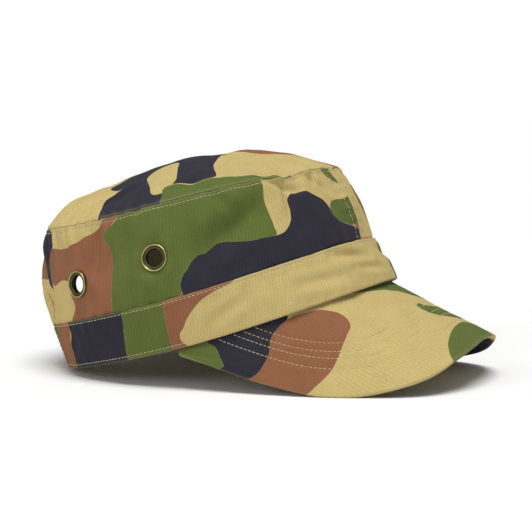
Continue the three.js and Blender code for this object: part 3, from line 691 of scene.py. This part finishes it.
def sidePush(turn, height):
    a, b = turn * wallMm[0], height * wallMm[1]
    below = wallMm[1] - b
    free = np.sin(np.pi * np.clip(height, 0, 1)) ** 0.6  # the cloth is held at both seams
    push = sidePanel["foldMm"] * free * ripple(a, b * 0.5 + a * 0.15, (24, 30), 3.7)
    push = push + sidePanel["creaseMm"] * ripple(a, b, (8, 16), 8.1) * (0.3 + 0.7 * free)
    push = push + creasePush(a, b, sidePanel["creases"], wallMm)
    push = push + sidePanel["puckerMm"] * seamWave(a) * (np.exp(-below / 5) + 0.8 * np.exp(-b / 4))
    push = push - stitchDip(below - sidePanel["seamRowMm"], 0.35, 0.6)
    fromFront, fromBack = np.abs(a), (180 - np.abs(turn)) * wallMm[0]
    for away, row, seed in ((fromFront, sidePanel["frontRowMm"], 1.5), (fromBack, sidePanel["backRowMm"], 2.5)):
        flap = 1 / (1 + np.exp((away - row) / 0.35))  # the folded cloth beside each seam is thicker
        push = push + sidePanel["flapMm"] * flap - stitchDip(away - row, 0.45, 0.6)
        push = push + 0.35 * np.sin(b * 2 * np.pi / 6.5 + seed) * bell((away - row) / 3.5)
        push = push - roundEdge(away, 1.2) * 0.9
    for _, at, up in eyelets:
        dx, dy = (turn - at) * wallMm[0] * 0.96, (height - up) * wallMm[1]
        far = np.hypot(dx, dy)
        flat = np.exp(-(far / sidePanel["flatMm"]) ** 4)  # flat under the flange, with small folds round it
        rays = np.cos(5 * np.arctan2(dy, dx) + at) * bell((far - 10.5) / 2.5)
        push = push * (1 - flat) - 0.5 * flat + 0.3 * rays
    return push


def sideOuter(turn, height):
    face = normalOf(sideFace, turn, height, *wallSteps)
    point = sideFace(turn, height) + face * (sidePush(turn, height) - cap["bandStep"])[..., None]
    point[..., 2] += seamWander(turn) * np.clip((height - 0.6) / 0.4, 0, 1) ** 2
    return point, face


def archInside(points, grow):
    # over 0 where a point of the rear wall lies inside the arch
    x = np.abs(points[..., 0] - archMm["shift"]) / (archMm["half"] + grow)
    z = np.maximum(points[..., 2] - archMm["spring"], 0) / (archMm["top"] + grow - archMm["spring"])
    inside = 1 - (x ** archMm["power"] + z ** archMm["power"])
    return np.where(points[..., 1] > 0, inside, -1)


def sidePanelPiece(way):
    side = "left" if way > 0 else "right"
    span = 180 * wallMm[0]
    along = gridSteps(span, [0, 0.12, 0.35, 0.7, 1.1, 1.6], 2.4, int(span / cellMm))
    foot, rim = [-0.06, -0.03, -0.01], 1 - np.array([1.7, 1.2, 0.8, 0.45, 0.2, 0.05, 0]) / wallMm[1]
    up = np.concatenate([foot, np.linspace(0.002, 0.95, 38), rim])
    a, h = np.meshgrid(along if way > 0 else along - span, up, indexing="ij")
    outer, face = sideOuter(a / wallMm[0], h)
    below = (1 - h) * wallMm[1]
    drop = roundEdge(below, 0.5)
    insideBand = sidePanel["allowanceMm"] * np.clip(-h / 0.02, 0, 1)
    outer = outer - face * (drop + insideBand)[..., None]
    underHem = sidePanel["underHemMm"] * np.clip(archInside(outer, archMm["width"] - 0.2) * 30, 0, 1)
    outer = outer - face * underHem[..., None]
    inner = outer - face * (sidePanel["thickMm"] - drop - 0.5 * underHem)[..., None]
    cell = (outer[:-1, :-1] + outer[1:, 1:]) / 2
    keep = archInside(cell, archMm["cut"]) < 0
    for _, at, middleHeight in eyelets:
        middle = sideOuter(np.array([float(at)]), np.array([middleHeight]))[0][0]
        keep &= np.linalg.norm(cell - middle, axis=-1) > sidePanel["holeMm"]
    chartAt = np.stack([a, h * wallMm[1]], -1)
    worn = np.clip(bell(below / 1.2) + 0.7 * bell(np.minimum(np.abs(a), span - np.abs(a)) / 1.5), 0, 1)
    inkAt = printOf("wallLeft" if way > 0 else "wallRight", chartAt)
    piece = clothPiece(f"side_{side}", outer, inner, chartAt, inkAt, worn, (printedTwill, reverseTwill), keep)
    return finished(piece, f"side_panel_{side}")


for way in (1, -1):
    sidePanelPiece(way)

turns = np.linspace(-179, 179, 900)
sideRows = [sideOuter(turns, np.full_like(turns, 1 - sidePanel["seamRowMm"] / wallMm[1]))]
frontTurn, backTurn = sidePanel["frontRowMm"] / wallMm[0], 180 - sidePanel["backRowMm"] / wallMm[0]
for way in (1, -1):
    for turn, low, count in ((frontTurn, 0.01, 60), (backTurn, 0.72, 30)):
        heights = np.linspace(low, 0.95, count)
        sideRows.append(sideOuter(np.full_like(heights, way * turn), heights))
stitching("stitching_side", sideRows)
print("side panels made")

topPanel = {
    "thickMm": 1.4, "foldMm": 1.5, "creaseMm": 0.65, "puckerMm": 0.55, "fullMm": 2.4,  # fullMm: at the back
    "allowanceMm": (1.3, 2.6),  # the seam allowance goes in and turns down inside the wall
    "creases": [  # both ends seen from above, depth and width in mm
        (-68, 34, -46, 4, -1.4, 3), (-72, -20, -56, -34, 1.1, 4), (-34, -74, -24, -60, 1.2, 3),
        (-10, -80, -6, -66, 0.8, 3), (30, -76, 22, -58, 1.1, 3.5), (62, -44, 48, -34, 1.0, 4),
        (74, 8, 56, 4, 0.9, 4), (64, 46, 50, 34, 1.0, 4), (-66, 40, -50, 30, 1.2, 3),
        (-60, 52, -46, 40, 1.4, 3), (-53, 62, -42, 50, 1.0, 2.4), (-44, 70, -36, 54, 1.3, 3),
        (-32, 76, -27, 63, 0.9, 2.6), (-18, 80, -15, 62, 1.0, 3), (8, 82, 6, 66, 0.9, 3),
        (26, 76, 20, 60, 0.8, 3), (-20, -20, 30, -34, 0.8, 8), (20, 30, -22, 44, 0.7, 8)],
}


def topPush(x, y, out, turn):
    fromSeam = (1 - out) * topMm
    push = topPanel["foldMm"] * ripple(x, y, (38, 38), 1.3) * (1 - out ** 6)
    push = push + topPanel["creaseMm"] * ripple(x, y, (14, 14), 4.4) * (1 - out ** 10)
    push = push + creasePush(x, y, topPanel["creases"]) * (1 - out ** 14)
    push = push + topPanel["fullMm"] * bell((out - 0.8) / 0.16) * bell((np.abs(turn) - 180) / 60)
    pucker = topPanel["puckerMm"] * seamWave(turn * wallMm[0])
    return push + pucker * np.exp(-fromSeam / 6) * (1 - np.exp(-fromSeam / 1.5))


def topPanelPiece():
    turn = np.linspace(180, -180, 440, endpoint=False)
    rimRows = 1 - np.array([1.9, 1.4, 0.95, 0.6, 0.3, 0.1, 0]) / topMm
    out = np.concatenate([np.linspace(0.01, 0.97, 62), rimRows])
    seamPush = sidePush(wrapTurn(turn), np.ones_like(turn))  # the rim follows the side wall's upper edge
    turn, out = np.meshgrid(turn, out, indexing="ij")
    fromSeam = (1 - out) * topMm
    base = topFace(turn, out)
    outward = unit(base * (1, 1, 0))
    turnUnder = 0.45 * np.clip(1 - fromSeam / 1.5, 0, 1) ** 2
    base = base + outward * (seamPush[:, None] * out ** 12 - turnUnder)[..., None]
    base[..., 2] += (0.12 + seamWander(wrapTurn(turn))) * out ** 10
    face = -normalOf(topFace, turn, np.minimum(out, 0.985), 0.4, 0.004)
    push = topPush(base[..., 0], base[..., 1], out, turn) - roundEdge(fromSeam, 0.6)
    outer = base + face * push[..., None]
    inner = outer - face * topPanel["thickMm"] * (0.02 + 0.98 * np.clip(fromSeam / 1.6, 0, 1))[..., None]
    rim, (inwardMm, downMm) = outward[:, -1:], topPanel["allowanceMm"]
    allowance = rim * inwardMm + (0, 0, downMm)
    outer = np.concatenate([outer, outer[:, -1:] - allowance], 1)
    inner = np.concatenate([inner, inner[:, -1:] - allowance - rim * 0.5], 1)
    chartAt, worn = (np.concatenate([grid, grid[:, -1:]], 1) for grid in (base[..., :2], bell(fromSeam / 1.5)))
    piece = clothPiece("crown_top", outer, inner, chartAt, printOf("top", chartAt), worn,
                       (printedTwill, reverseTwill), ring=True, middle=True)
    return finished(piece, "top_panel")


topPanelPiece()
print("top panel made")

band = {
    "thickMm": 2.0, "topRowMm": 1.5, "hemRowMm": 2.2, "endRowsMm": (1.8, 7.8),  # stitched rows, from its edges
    "foldMm": 0.7, "creaseMm": 0.22, "puckerMm": 0.3,
    "swellMm": 1.1, "flareMm": 2.4,  # it swells over the peak's root, and its hem flares over the peak
    "creases": [  # turn and height of both ends, depth and width in mm
        (-24, 0.85, -4, 0.62, 1.3, 2.6), (-16, 0.45, 4, 0.3, 0.9, 2.2), (-40, 0.5, -20, 0.35, 0.9, 3),
        (8, 0.8, 26, 0.5, 0.8, 3), (-70, 0.3, -56, 0.6, 0.6, 3), (-112, 0.8, -106, 0.3, 0.6, 3),
        (48, 0.7, 62, 0.4, 0.7, 3), (96, 0.3, 104, 0.75, 0.7, 3), (128, 0.8, 122, 0.3, 0.6, 3),
        (-126, 0.7, -132, 0.3, 0.6, 3)],
}


def bandPush(turn, height):
    a, b = turn * bandMm[0], height * bandMm[1]
    below = bandMm[1] - b
    push = band["foldMm"] * ripple(a, b * 0.4, (16, 20), 6.6) + band["creaseMm"] * ripple(a, b, (5, 9), 9.3)
    push = push + creasePush(a, b, band["creases"], bandMm)
    wave = np.sin(a * 2 * np.pi / 7.5 + 2.5 * ripple(a, a * 0, (25, 25), 7.7))
    push = push + band["puckerMm"] * wave * (bell((below - 4) / 4) + 0.7 * bell((b - 4) / 4))
    behind = 1 / (1 + np.exp((peakShape["halfTurn"] - np.abs(turn)) / 1.5))  # the hem has no row over the peak
    push = push - stitchDip(below - band["topRowMm"]) - behind * stitchDip(b - band["hemRowMm"])
    push = push + band["swellMm"] * np.sin(np.pi * np.clip(b / 20, 0, 1)) * bell(turn / 75)
    return push + band["flareMm"] * np.clip(below / bandMm[1], 0, 1) ** 1.5 * bell(turn / 55)


def bandOuter(turn, height):
    face = normalOf(bandFace, turn, height, *wallSteps)
    return bandFace(turn, height) + face * bandPush(turn, height)[..., None], face


def turnAtSide(way, side):
    # the turn at which the band's hem is so far to the side, behind
    low, high = 90.0, 179.0
    for _ in range(40):
        half = (low + high) / 2
        if bandFace(np.array([half]), np.array([0.0]))[0, 0] > side:
            low = half
        else:
            high = half
    return way * low


band["leftEnd"] = turnAtSide(1, archMm["half"] + archMm["shift"] + 0.3)
band["rightEnd"] = turnAtSide(-1, archMm["half"] - archMm["shift"] + 0.3)


def bandPiece():
    reach = (band["leftEnd"] - band["rightEnd"]) * bandMm[0]
    a, b = np.meshgrid(gridSteps(reach, edgeRowsMm, 2.4, int(reach / cellMm)),
                       gridSteps(bandMm[1], edgeRowsMm, 2.2, 20), indexing="ij")
    turn = a / bandMm[0] + band["rightEnd"]
    outer, face = bandOuter(turn, b / bandMm[1])
    edge = toNearestEdge(a, reach, b, bandMm[1])
    drop = roundEdge(edge, band["thickMm"] / 2) * 0.98
    inner = outer - face * (band["thickMm"] - drop)[..., None]
    outer = outer - face * drop[..., None]
    chartAt = np.stack([turn * bandMm[0], b], -1)
    piece = clothPiece("sweat_band", outer, inner, chartAt, printOf("band", chartAt), bell(edge / 0.9),
                       (printedTwill, reverseTwill))
    return finished(piece, "band")


bandPiece()
turns = np.linspace(band["rightEnd"] + 1, band["leftEnd"] - 1, 900)
bandRows = [bandOuter(turns, np.full_like(turns, 1 - band["topRowMm"] / bandMm[1]))]
for low, high in ((band["rightEnd"] + 1, -80), (80, band["leftEnd"] - 1)):
    turns = np.linspace(low, high, 250)
    bandRows.append(bandOuter(turns, np.full_like(turns, band["hemRowMm"] / bandMm[1])))
for end in (band["rightEnd"], band["leftEnd"]):
    for inset in band["endRowsMm"]:
        heights = np.linspace(0.09, 0.93, 60)
        turns = np.full_like(heights, end - math.copysign(inset / bandMm[0], end))
        bandRows.append(bandOuter(turns, heights))
stitching("stitching_band", bandRows)
print("band made")

peak = {
    "thickMm": 2.6, "foldMm": 0.5, "creaseMm": 0.18,
    "allowanceMm": 3.4,  # the seam allowance turns up inside the band
    "rowsMm": (18.5, 26, 31, 37.5), "sideSpread": 0.7,  # stitched rows from its edge, wider apart at its sides
}


def peakLength(across):
    ends = (peakFace(across, np.full_like(across, out)) for out in (1, 0))
    return np.linalg.norm(np.subtract(*ends), axis=-1)


def rowSpread(across):
    # the rows leave the edge towards the sides and run in under the band
    return 1 + peak["sideSpread"] * np.clip((np.abs(across) - 0.45) / 0.4, 0, 1) ** 1.5


def peakPush(across, out):
    length, spread = peakLength(across), rowSpread(across)
    x, y = across * peakMm[0], out * peakMm[1]
    push = peak["foldMm"] * ripple(x, y, (30, 26), 2.2) + peak["creaseMm"] * ripple(x, y, (7, 7), 3.1)
    for at in peak["rowsMm"]:
        dip = stitchDip((1 - out) * length / spread - at, 0.4, 0.7)
        push = push - dip * np.clip((length / spread - at) / 3, 0, 1)
    return push * np.clip(length / 12, 0, 1)


def peakOuter(across, out):
    near = np.clip(across, -0.97, 0.97)
    face = normalOf(peakFace, near, np.minimum(out, 0.98), 0.004, 0.01)
    face = face * np.where(face[..., 2:] < 0, -1, 1)
    return peakFace(across, out) + face * peakPush(across, out)[..., None], face


def peakPiece():
    across = np.linspace(-1, 1, 250)
    out = np.concatenate([np.linspace(0, 0.96, 48), [0.972, 0.98, 0.987, 0.992, 0.996, 0.999, 1]])
    u, v = np.meshgrid(across, out, indexing="ij")
    outer, face = peakOuter(u, v)
    length = peakLength(u)
    drop = roundEdge((1 - v) * np.maximum(length, 20), peak["thickMm"] / 2) * 0.97
    inner = outer - face * (peak["thickMm"] - drop)[..., None]
    outer = outer - face * drop[..., None]
    chartAt, worn = np.stack([u * peakMm[0], v * peakMm[1]], -1), bell((1 - v) * length / 1.2)
    up = (0, 0, peak["allowanceMm"])
    outer, inner = (np.concatenate([grid[:, :1] + up, grid], 1)[:, ::-1] for grid in (outer, inner))
    chartAt, worn = (np.concatenate([grid[:, :1], grid], 1)[:, ::-1] for grid in (chartAt, worn))
    piece = clothPiece("stitched_peak", outer, inner, chartAt, printOf("peak", chartAt), worn,
                       (printedTwill, printedTwill), under=printOf("peakUnder", chartAt))
    return finished(piece, "peak")


peakPiece()
peakRows = []
for at in peak["rowsMm"]:
    across = np.linspace(-0.995, 0.995, 1200)
    out = 1 - at * rowSpread(across) / peakLength(across)
    use = out > 0.012  # the rest of the row would lie under the band
    peakRows.append(peakOuter(across[use], out[use]))
stitching("stitching_peak", peakRows)
print("peak made")

strap = {
    "thickMm": 1.6, "heightMm": 20, "tuckMm": 11,  # tuckMm: how far its ends run on behind the band
    "outDepthMm": -0.3, "inDepthMm": -2.3,  # its face against the band's, flush and tucked in
    "rowInMm": 2.2, "foldMm": 0.35,
    # heights on the band: the outer one's lower edge rises so far to the wearer's right, where the inner one
    # shows under it; then the inner one's lower edge at its left and its right, and its upper edge
    "overRiseMm": 3.6, "underLowMm": (1.5, 0.1), "underTopMm": 21.6,
}
tuck = math.degrees(strap["tuckMm"] / cap["headBack"])
outerStart, outerEnd = band["leftEnd"] + 0.2, 360 + band["rightEnd"] + tuck
underStart, underEnd = band["leftEnd"] - tuck, 360 + band["rightEnd"] + 0.4 * tuck


def strapFace(lowAt, highAt):
    def face(turn, height):
        low = bandFace(turn, np.zeros_like(turn))
        up = unit(bandFace(turn, np.ones_like(turn)) - low)
        return low + up * (lowAt(turn) * (1 - height) + highAt(turn) * height)[..., None]
    return face


def strapPiece(name, node, start, end, lowAt, highAt, depthAt, inkAt):
    face, tall = strapFace(lowAt, highAt), strap["heightMm"]
    reach = abs(end - start) * bandMm[0]
    a, b = np.meshgrid(gridSteps(reach, edgeRowsMm[:5], 1.6, int(reach / cellMm)),
                       gridSteps(tall, edgeRowsMm[:5], 1.7, 16), indexing="ij")
    turn, h = start + (end - start) * a / reach, b / tall
    level = unit(normalOf(face, turn, h, 0.05, 0.01) * (1, 1, 0))
    edge = toNearestEdge(a, reach, b, tall)
    drop = roundEdge(edge, strap["thickMm"] / 2) * 0.98
    dip = stitchDip(np.minimum(b, tall - b) - strap["rowInMm"], 0.25, 0.6)
    push = strap["foldMm"] * ripple(a, b, (22, 14), 5.5) - dip
    base = face(turn, h) + level * depthAt(turn)[..., None]
    outer = base + level * (push - drop)[..., None]
    inner = base + level * (push - strap["thickMm"] + drop)[..., None]
    chartAt = np.stack([turn * bandMm[0], b], -1)
    piece = clothPiece(name, outer, inner, chartAt, inkAt(outer, b), bell(edge / 0.9),
                       (printedTwill, printedTwill))
    finished(piece, node)
    return face, depthAt


def outerDepth(turn):
    # flush with the band, until it goes in behind the band's right end
    w = np.clip((turn - (360 + band["rightEnd"] - 1.5 * tuck)) / tuck, 0, 1)
    return strap["outDepthMm"] + (strap["inDepthMm"] - strap["outDepthMm"]) * w * w * (3 - 2 * w)


def underDepth(turn):
    return strap["inDepthMm"] - 2.0 * np.clip((turn - underEnd + 2.6 * tuck) / (1.2 * tuck), 0, 1) ** 2


def navyHalf(points, b):
    # navy to the wearer's left of a slanting line, and green to the right
    edge = np.clip(points[..., 0] - (-4.5 + 3.5 * (1 - b / strap["heightMm"])), -inkReach, inkReach)
    return {"green": -edge, "brown": np.full(b.shape, -inkReach), "navy": edge}


def tanOnly(points, b):
    return {ink: np.full(b.shape, -inkReach) for ink in inks}


def towardRight(turn):
    return np.clip((turn - outerStart - 20) / (outerEnd - outerStart - 28), 0, 1)


leftLow, rightLow = strap["underLowMm"]
outerWay = strapPiece("strap_over", "strap_outer", outerStart, outerEnd,
                      lambda turn: strap["overRiseMm"] * towardRight(turn),
                      lambda turn: strap["heightMm"] + 0 * turn, outerDepth, navyHalf)
strapPiece("strap_under", "strap_inner", underStart, underEnd,
           lambda turn: leftLow + (rightLow - leftLow) * towardRight(turn),
           lambda turn: strap["underTopMm"] + 0 * turn, underDepth, tanOnly)


def strapRow(turn, h):
    face, depthAt = outerWay
    level = unit(normalOf(face, turn, h, 0.05, 0.01) * (1, 1, 0))
    return face(turn, h) + level * depthAt(turn)[:, None], level


tabTurn = outerStart + strap["rowInMm"] / bandMm[0]
strapRows = [strapRow(np.linspace(tabTurn, outerEnd - tuck - 1, 260), np.full(260, h)) for h in (0.11, 0.89)]
strapRows.append(strapRow(np.full(60, tabTurn), np.linspace(0.13, 0.87, 60)))
stitching("stitching_strap", strapRows)
print("straps made")

binding = {
    "thickMm": 2.0, "standMm": 0.5, "rowsMm": (1.8, 7.2),  # standMm: how far it stands out from the wall
    "tuckMm": 2.4,  # both ends run down inside the band
}


def onRearWall(x, z):
    # turn and height of the rear wall at a place seen from behind: a first guess, corrected along the wall
    turn = 180 - np.degrees(np.arcsin(np.clip(x / 92, -0.95, 0.95)))
    height = (z - 26) / 50
    for _ in range(12):
        p = sideFace(turn, height)
        a = (sideFace(turn + 0.1, height) - p) / 0.1
        b = (sideFace(turn, height + 0.002) - p) / 0.002
        dx, dz = x - p[..., 0], z - p[..., 2]
        det = a[..., 0] * b[..., 2] - b[..., 0] * a[..., 2]
        turn = turn + (dx * b[..., 2] - dz * b[..., 0]) / det
        height = height + (a[..., 0] * dz - a[..., 2] * dx) / det
    return turn, height


def archLine(angle, width):
    # x and z round the arch, from its middle and its spring, so far outside its edge
    c, s, power = np.cos(angle), np.maximum(np.sin(angle), 0), 2 / archMm["power"]
    x = (archMm["half"] + width) * np.sign(c) * np.abs(c) ** power
    return x, (archMm["top"] + width - archMm["spring"]) * s ** power


def bindingOuter(angle, width):
    x, z = archLine(angle, width)
    turn, height = onRearWall(archMm["shift"] + x, archMm["spring"] + z)
    turn = wrapTurn(turn)
    face = normalOf(sideFace, turn, height, *wallSteps)
    push = sidePush(turn, np.clip(height, 0, 1)) - cap["bandStep"] + binding["standMm"]
    for row in binding["rowsMm"]:
        push = push - stitchDip(width - row)
    return sideFace(turn, height) + face * push[..., None], face, turn, height


def evenAngles(count):
    angle = np.linspace(0.0015, math.pi - 0.0015, 4000)
    x, z = archLine(angle, archMm["cut"])
    reach = np.concatenate([[0], np.cumsum(np.hypot(np.diff(x), np.diff(z)))])
    return np.interp(np.linspace(0, reach[-1], count), reach, angle)


def bindingPiece():
    wide = archMm["width"]
    width = np.array([0, 0.1, 0.3, 0.6, 1, 1.5, 2.2, 3, 4, 5, 6, 6.8, 7.4, 7.9, 8.2, 8.4, wide])
    angle, width = np.meshgrid(evenAngles(130), width, indexing="ij")
    outer, face, turn, height = bindingOuter(angle, width)
    drop = roundEdge(np.minimum(width, wide - width), 0.9) * 0.98
    inner = outer - face * (binding["thickMm"] - drop)[..., None]
    outer = outer - face * drop[..., None]
    chartAt = np.stack([turn * wallMm[0], height * wallMm[1]], -1)
    down = (0, 0, binding["tuckMm"])
    outer = np.concatenate([outer[:1] - down - face[:1] * 0.9, outer, outer[-1:] - down - face[-1:] * 0.9])
    inner = np.concatenate([inner[:1] - down, inner, inner[-1:] - down])
    chartAt, turn, width = (np.concatenate([grid[:1], grid, grid[-1:]]) for grid in (chartAt, turn, width))
    leftInk, rightInk = printOf("wallLeft", chartAt), printOf("wallRight", chartAt)  # the wall's print runs on
    inkAt = {ink: np.where(turn > 0, leftInk[ink], rightInk[ink]) for ink in inks}
    piece = clothPiece("arch_hem", outer, inner, chartAt, inkAt, bell(width / 0.9),
                       (printedTwill, printedTwill))
    return finished(piece, "arch_binding")


bindingPiece()
angles = evenAngles(500)
stitching("stitching_arch", [bindingOuter(angles, np.full_like(angles, row))[:2] for row in binding["rowsMm"]])
print("arch made")

eyelet = {
    "sides": 72,
    # radius and height in mm, and how far rubbed bright: the washer behind, the flange, its roll and the barrel
    "profile": [
        (4.8, -2.6, 0.2), (6.5, -2.6, 0.6), (6.7, -2.4, 0.8), (6.6, -2.2, 0.4), (5.3, -2.15, 0.2),
        (5.3, 0.25, 0.2), (6.6, 0.22, 0.1), (7.0, 0.3, 0.1), (7.2, 0.55, 0.3), (7.2, 0.85, 0.8),
        (7.05, 1.1, 1.0), (6.8, 1.2, 1.0), (6.5, 1.1, 0.9), (6.3, 0.85, 0.3), (6.15, 0.55, 0.0),
        (5.9, 0.42, 0.0), (5.6, 0.5, 0.05), (5.3, 0.62, 0.25), (5.05, 0.58, 0.35), (4.88, 0.4, 0.15),
        (4.8, 0.1, 0.05), (4.78, -1.2, 0.0)],
}


def eyeletPiece(name, turn, height):
    middle, face = sideOuter(np.array([float(turn)]), np.array([height]))
    middle, up = middle[0], face[0]
    beside = unit(np.cross(up, (0, 0, 1)))
    above = np.cross(beside, up)
    profile, sides = eyelet["profile"], eyelet["sides"]
    count = len(profile)
    points, faces = [], []
    for i, (radius, rise, _) in enumerate(profile):
        for j in range(sides):
            a = 2 * math.pi * j / sides
            points.append(middle + up * rise + (beside * math.cos(a) + above * math.sin(a)) * radius)
            k, n = (j + 1) % sides, (i + 1) % count
            faces.append((i * sides + k, i * sides + j, n * sides + j, n * sides + k))
    piece = newPiece(name, points, faces, brassFinish)
    pointValues(piece.data, "rubbed", np.repeat([bright for _, _, bright in profile], sides))
    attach(piece, "root")
    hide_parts(name.replace("grommet", "eyelet"))


for name, turn, height in eyelets:
    eyeletPiece(f"grommet_{name}", turn, height)
print("eyelets made")

studio = {
    "floorRadius": 40, "floorColour": "#F7F7F6", "skyStrength": 0.28, "backdrop": 1.1,
    "lamps": [  # sun through a wide soft box: name, where it comes from, softness in degrees, strength
        ("overheadBox", (-0.2, -0.12, 1.0), 35, 2.55), ("sideBox", (-1.0, 0.45, 0.45), 30, 0.62)],
}
view = {
    "azimuth": -66.2, "elevation": 4.9, "distance": 0.917,  # degrees and metres, taken from the point around
    "around": (0, 0.0249, 0.0628), "aim": (0, 0, 0.058), "lensMm": 110, "sensorMm": 36,
}


def floorPiece():
    # a sheet of white paper: matt, so only the cap's shadow shows on it
    mesh = bpy.data.meshes.new("studioFloor")
    r = studio["floorRadius"]
    mesh.from_pydata([(-r, -r, 0), (r, -r, 0), (r, r, 0), (-r, r, 0)], [], [(0, 1, 2, 3)])
    made, tree = newMaterial("paperSweep")
    shader = addNode(tree, "ShaderNodeBsdfPrincipled", {},
                     {"Base Color": linear(studio["floorColour"]), "Roughness": 0.9})
    addNode(tree, "ShaderNodeOutputMaterial", {}, {"Surface": shader.outputs[0]})
    mesh.materials.append(made)
    floor = bpy.data.objects.new("studioFloor", mesh)
    scene.collection.objects.link(floor)


floorPiece()
world = bpy.data.worlds.new("studioSky")
scene.world = world
world.use_nodes = True
skyTree = world.node_tree
seen = addNode(skyTree, "ShaderNodeLightPath").outputs["Is Camera Ray"]
skyLight = addNode(skyTree, "ShaderNodeMapRange", {},
                   {"Value": seen, "To Min": studio["skyStrength"], "To Max": studio["backdrop"]})
skyTree.nodes["Background"].inputs["Color"].default_value = (1, 1, 1, 1)
skyTree.links.new(skyLight.outputs["Result"], skyTree.nodes["Background"].inputs["Strength"])
for name, place, softness, strength in studio["lamps"]:
    lamp = bpy.data.lights.new(name, "SUN")
    lamp.angle, lamp.energy = math.radians(softness), strength
    soft = bpy.data.objects.new(name, lamp)
    soft.rotation_euler = Vector(place).to_track_quat("Z", "Y").to_euler()
    scene.collection.objects.link(soft)

camera = bpy.data.objects.new("photoCamera", bpy.data.cameras.new("photoCamera"))
camera.data.sensor_width, camera.data.lens = view["sensorMm"], view["lensMm"]
azimuth, elevation = math.radians(view["azimuth"]), math.radians(view["elevation"])
level = math.cos(elevation)
back = Vector((math.sin(azimuth) * level, -math.cos(azimuth) * level, math.sin(elevation)))
camera.location = Vector(view["around"]) + back * view["distance"]
camera.rotation_euler = (Vector(view["aim"]) - camera.location).to_track_quat("-Z", "Y").to_euler()
scene.collection.objects.link(camera)
scene.camera = camera
scene.view_settings.view_transform = "Standard"

print("studio made")
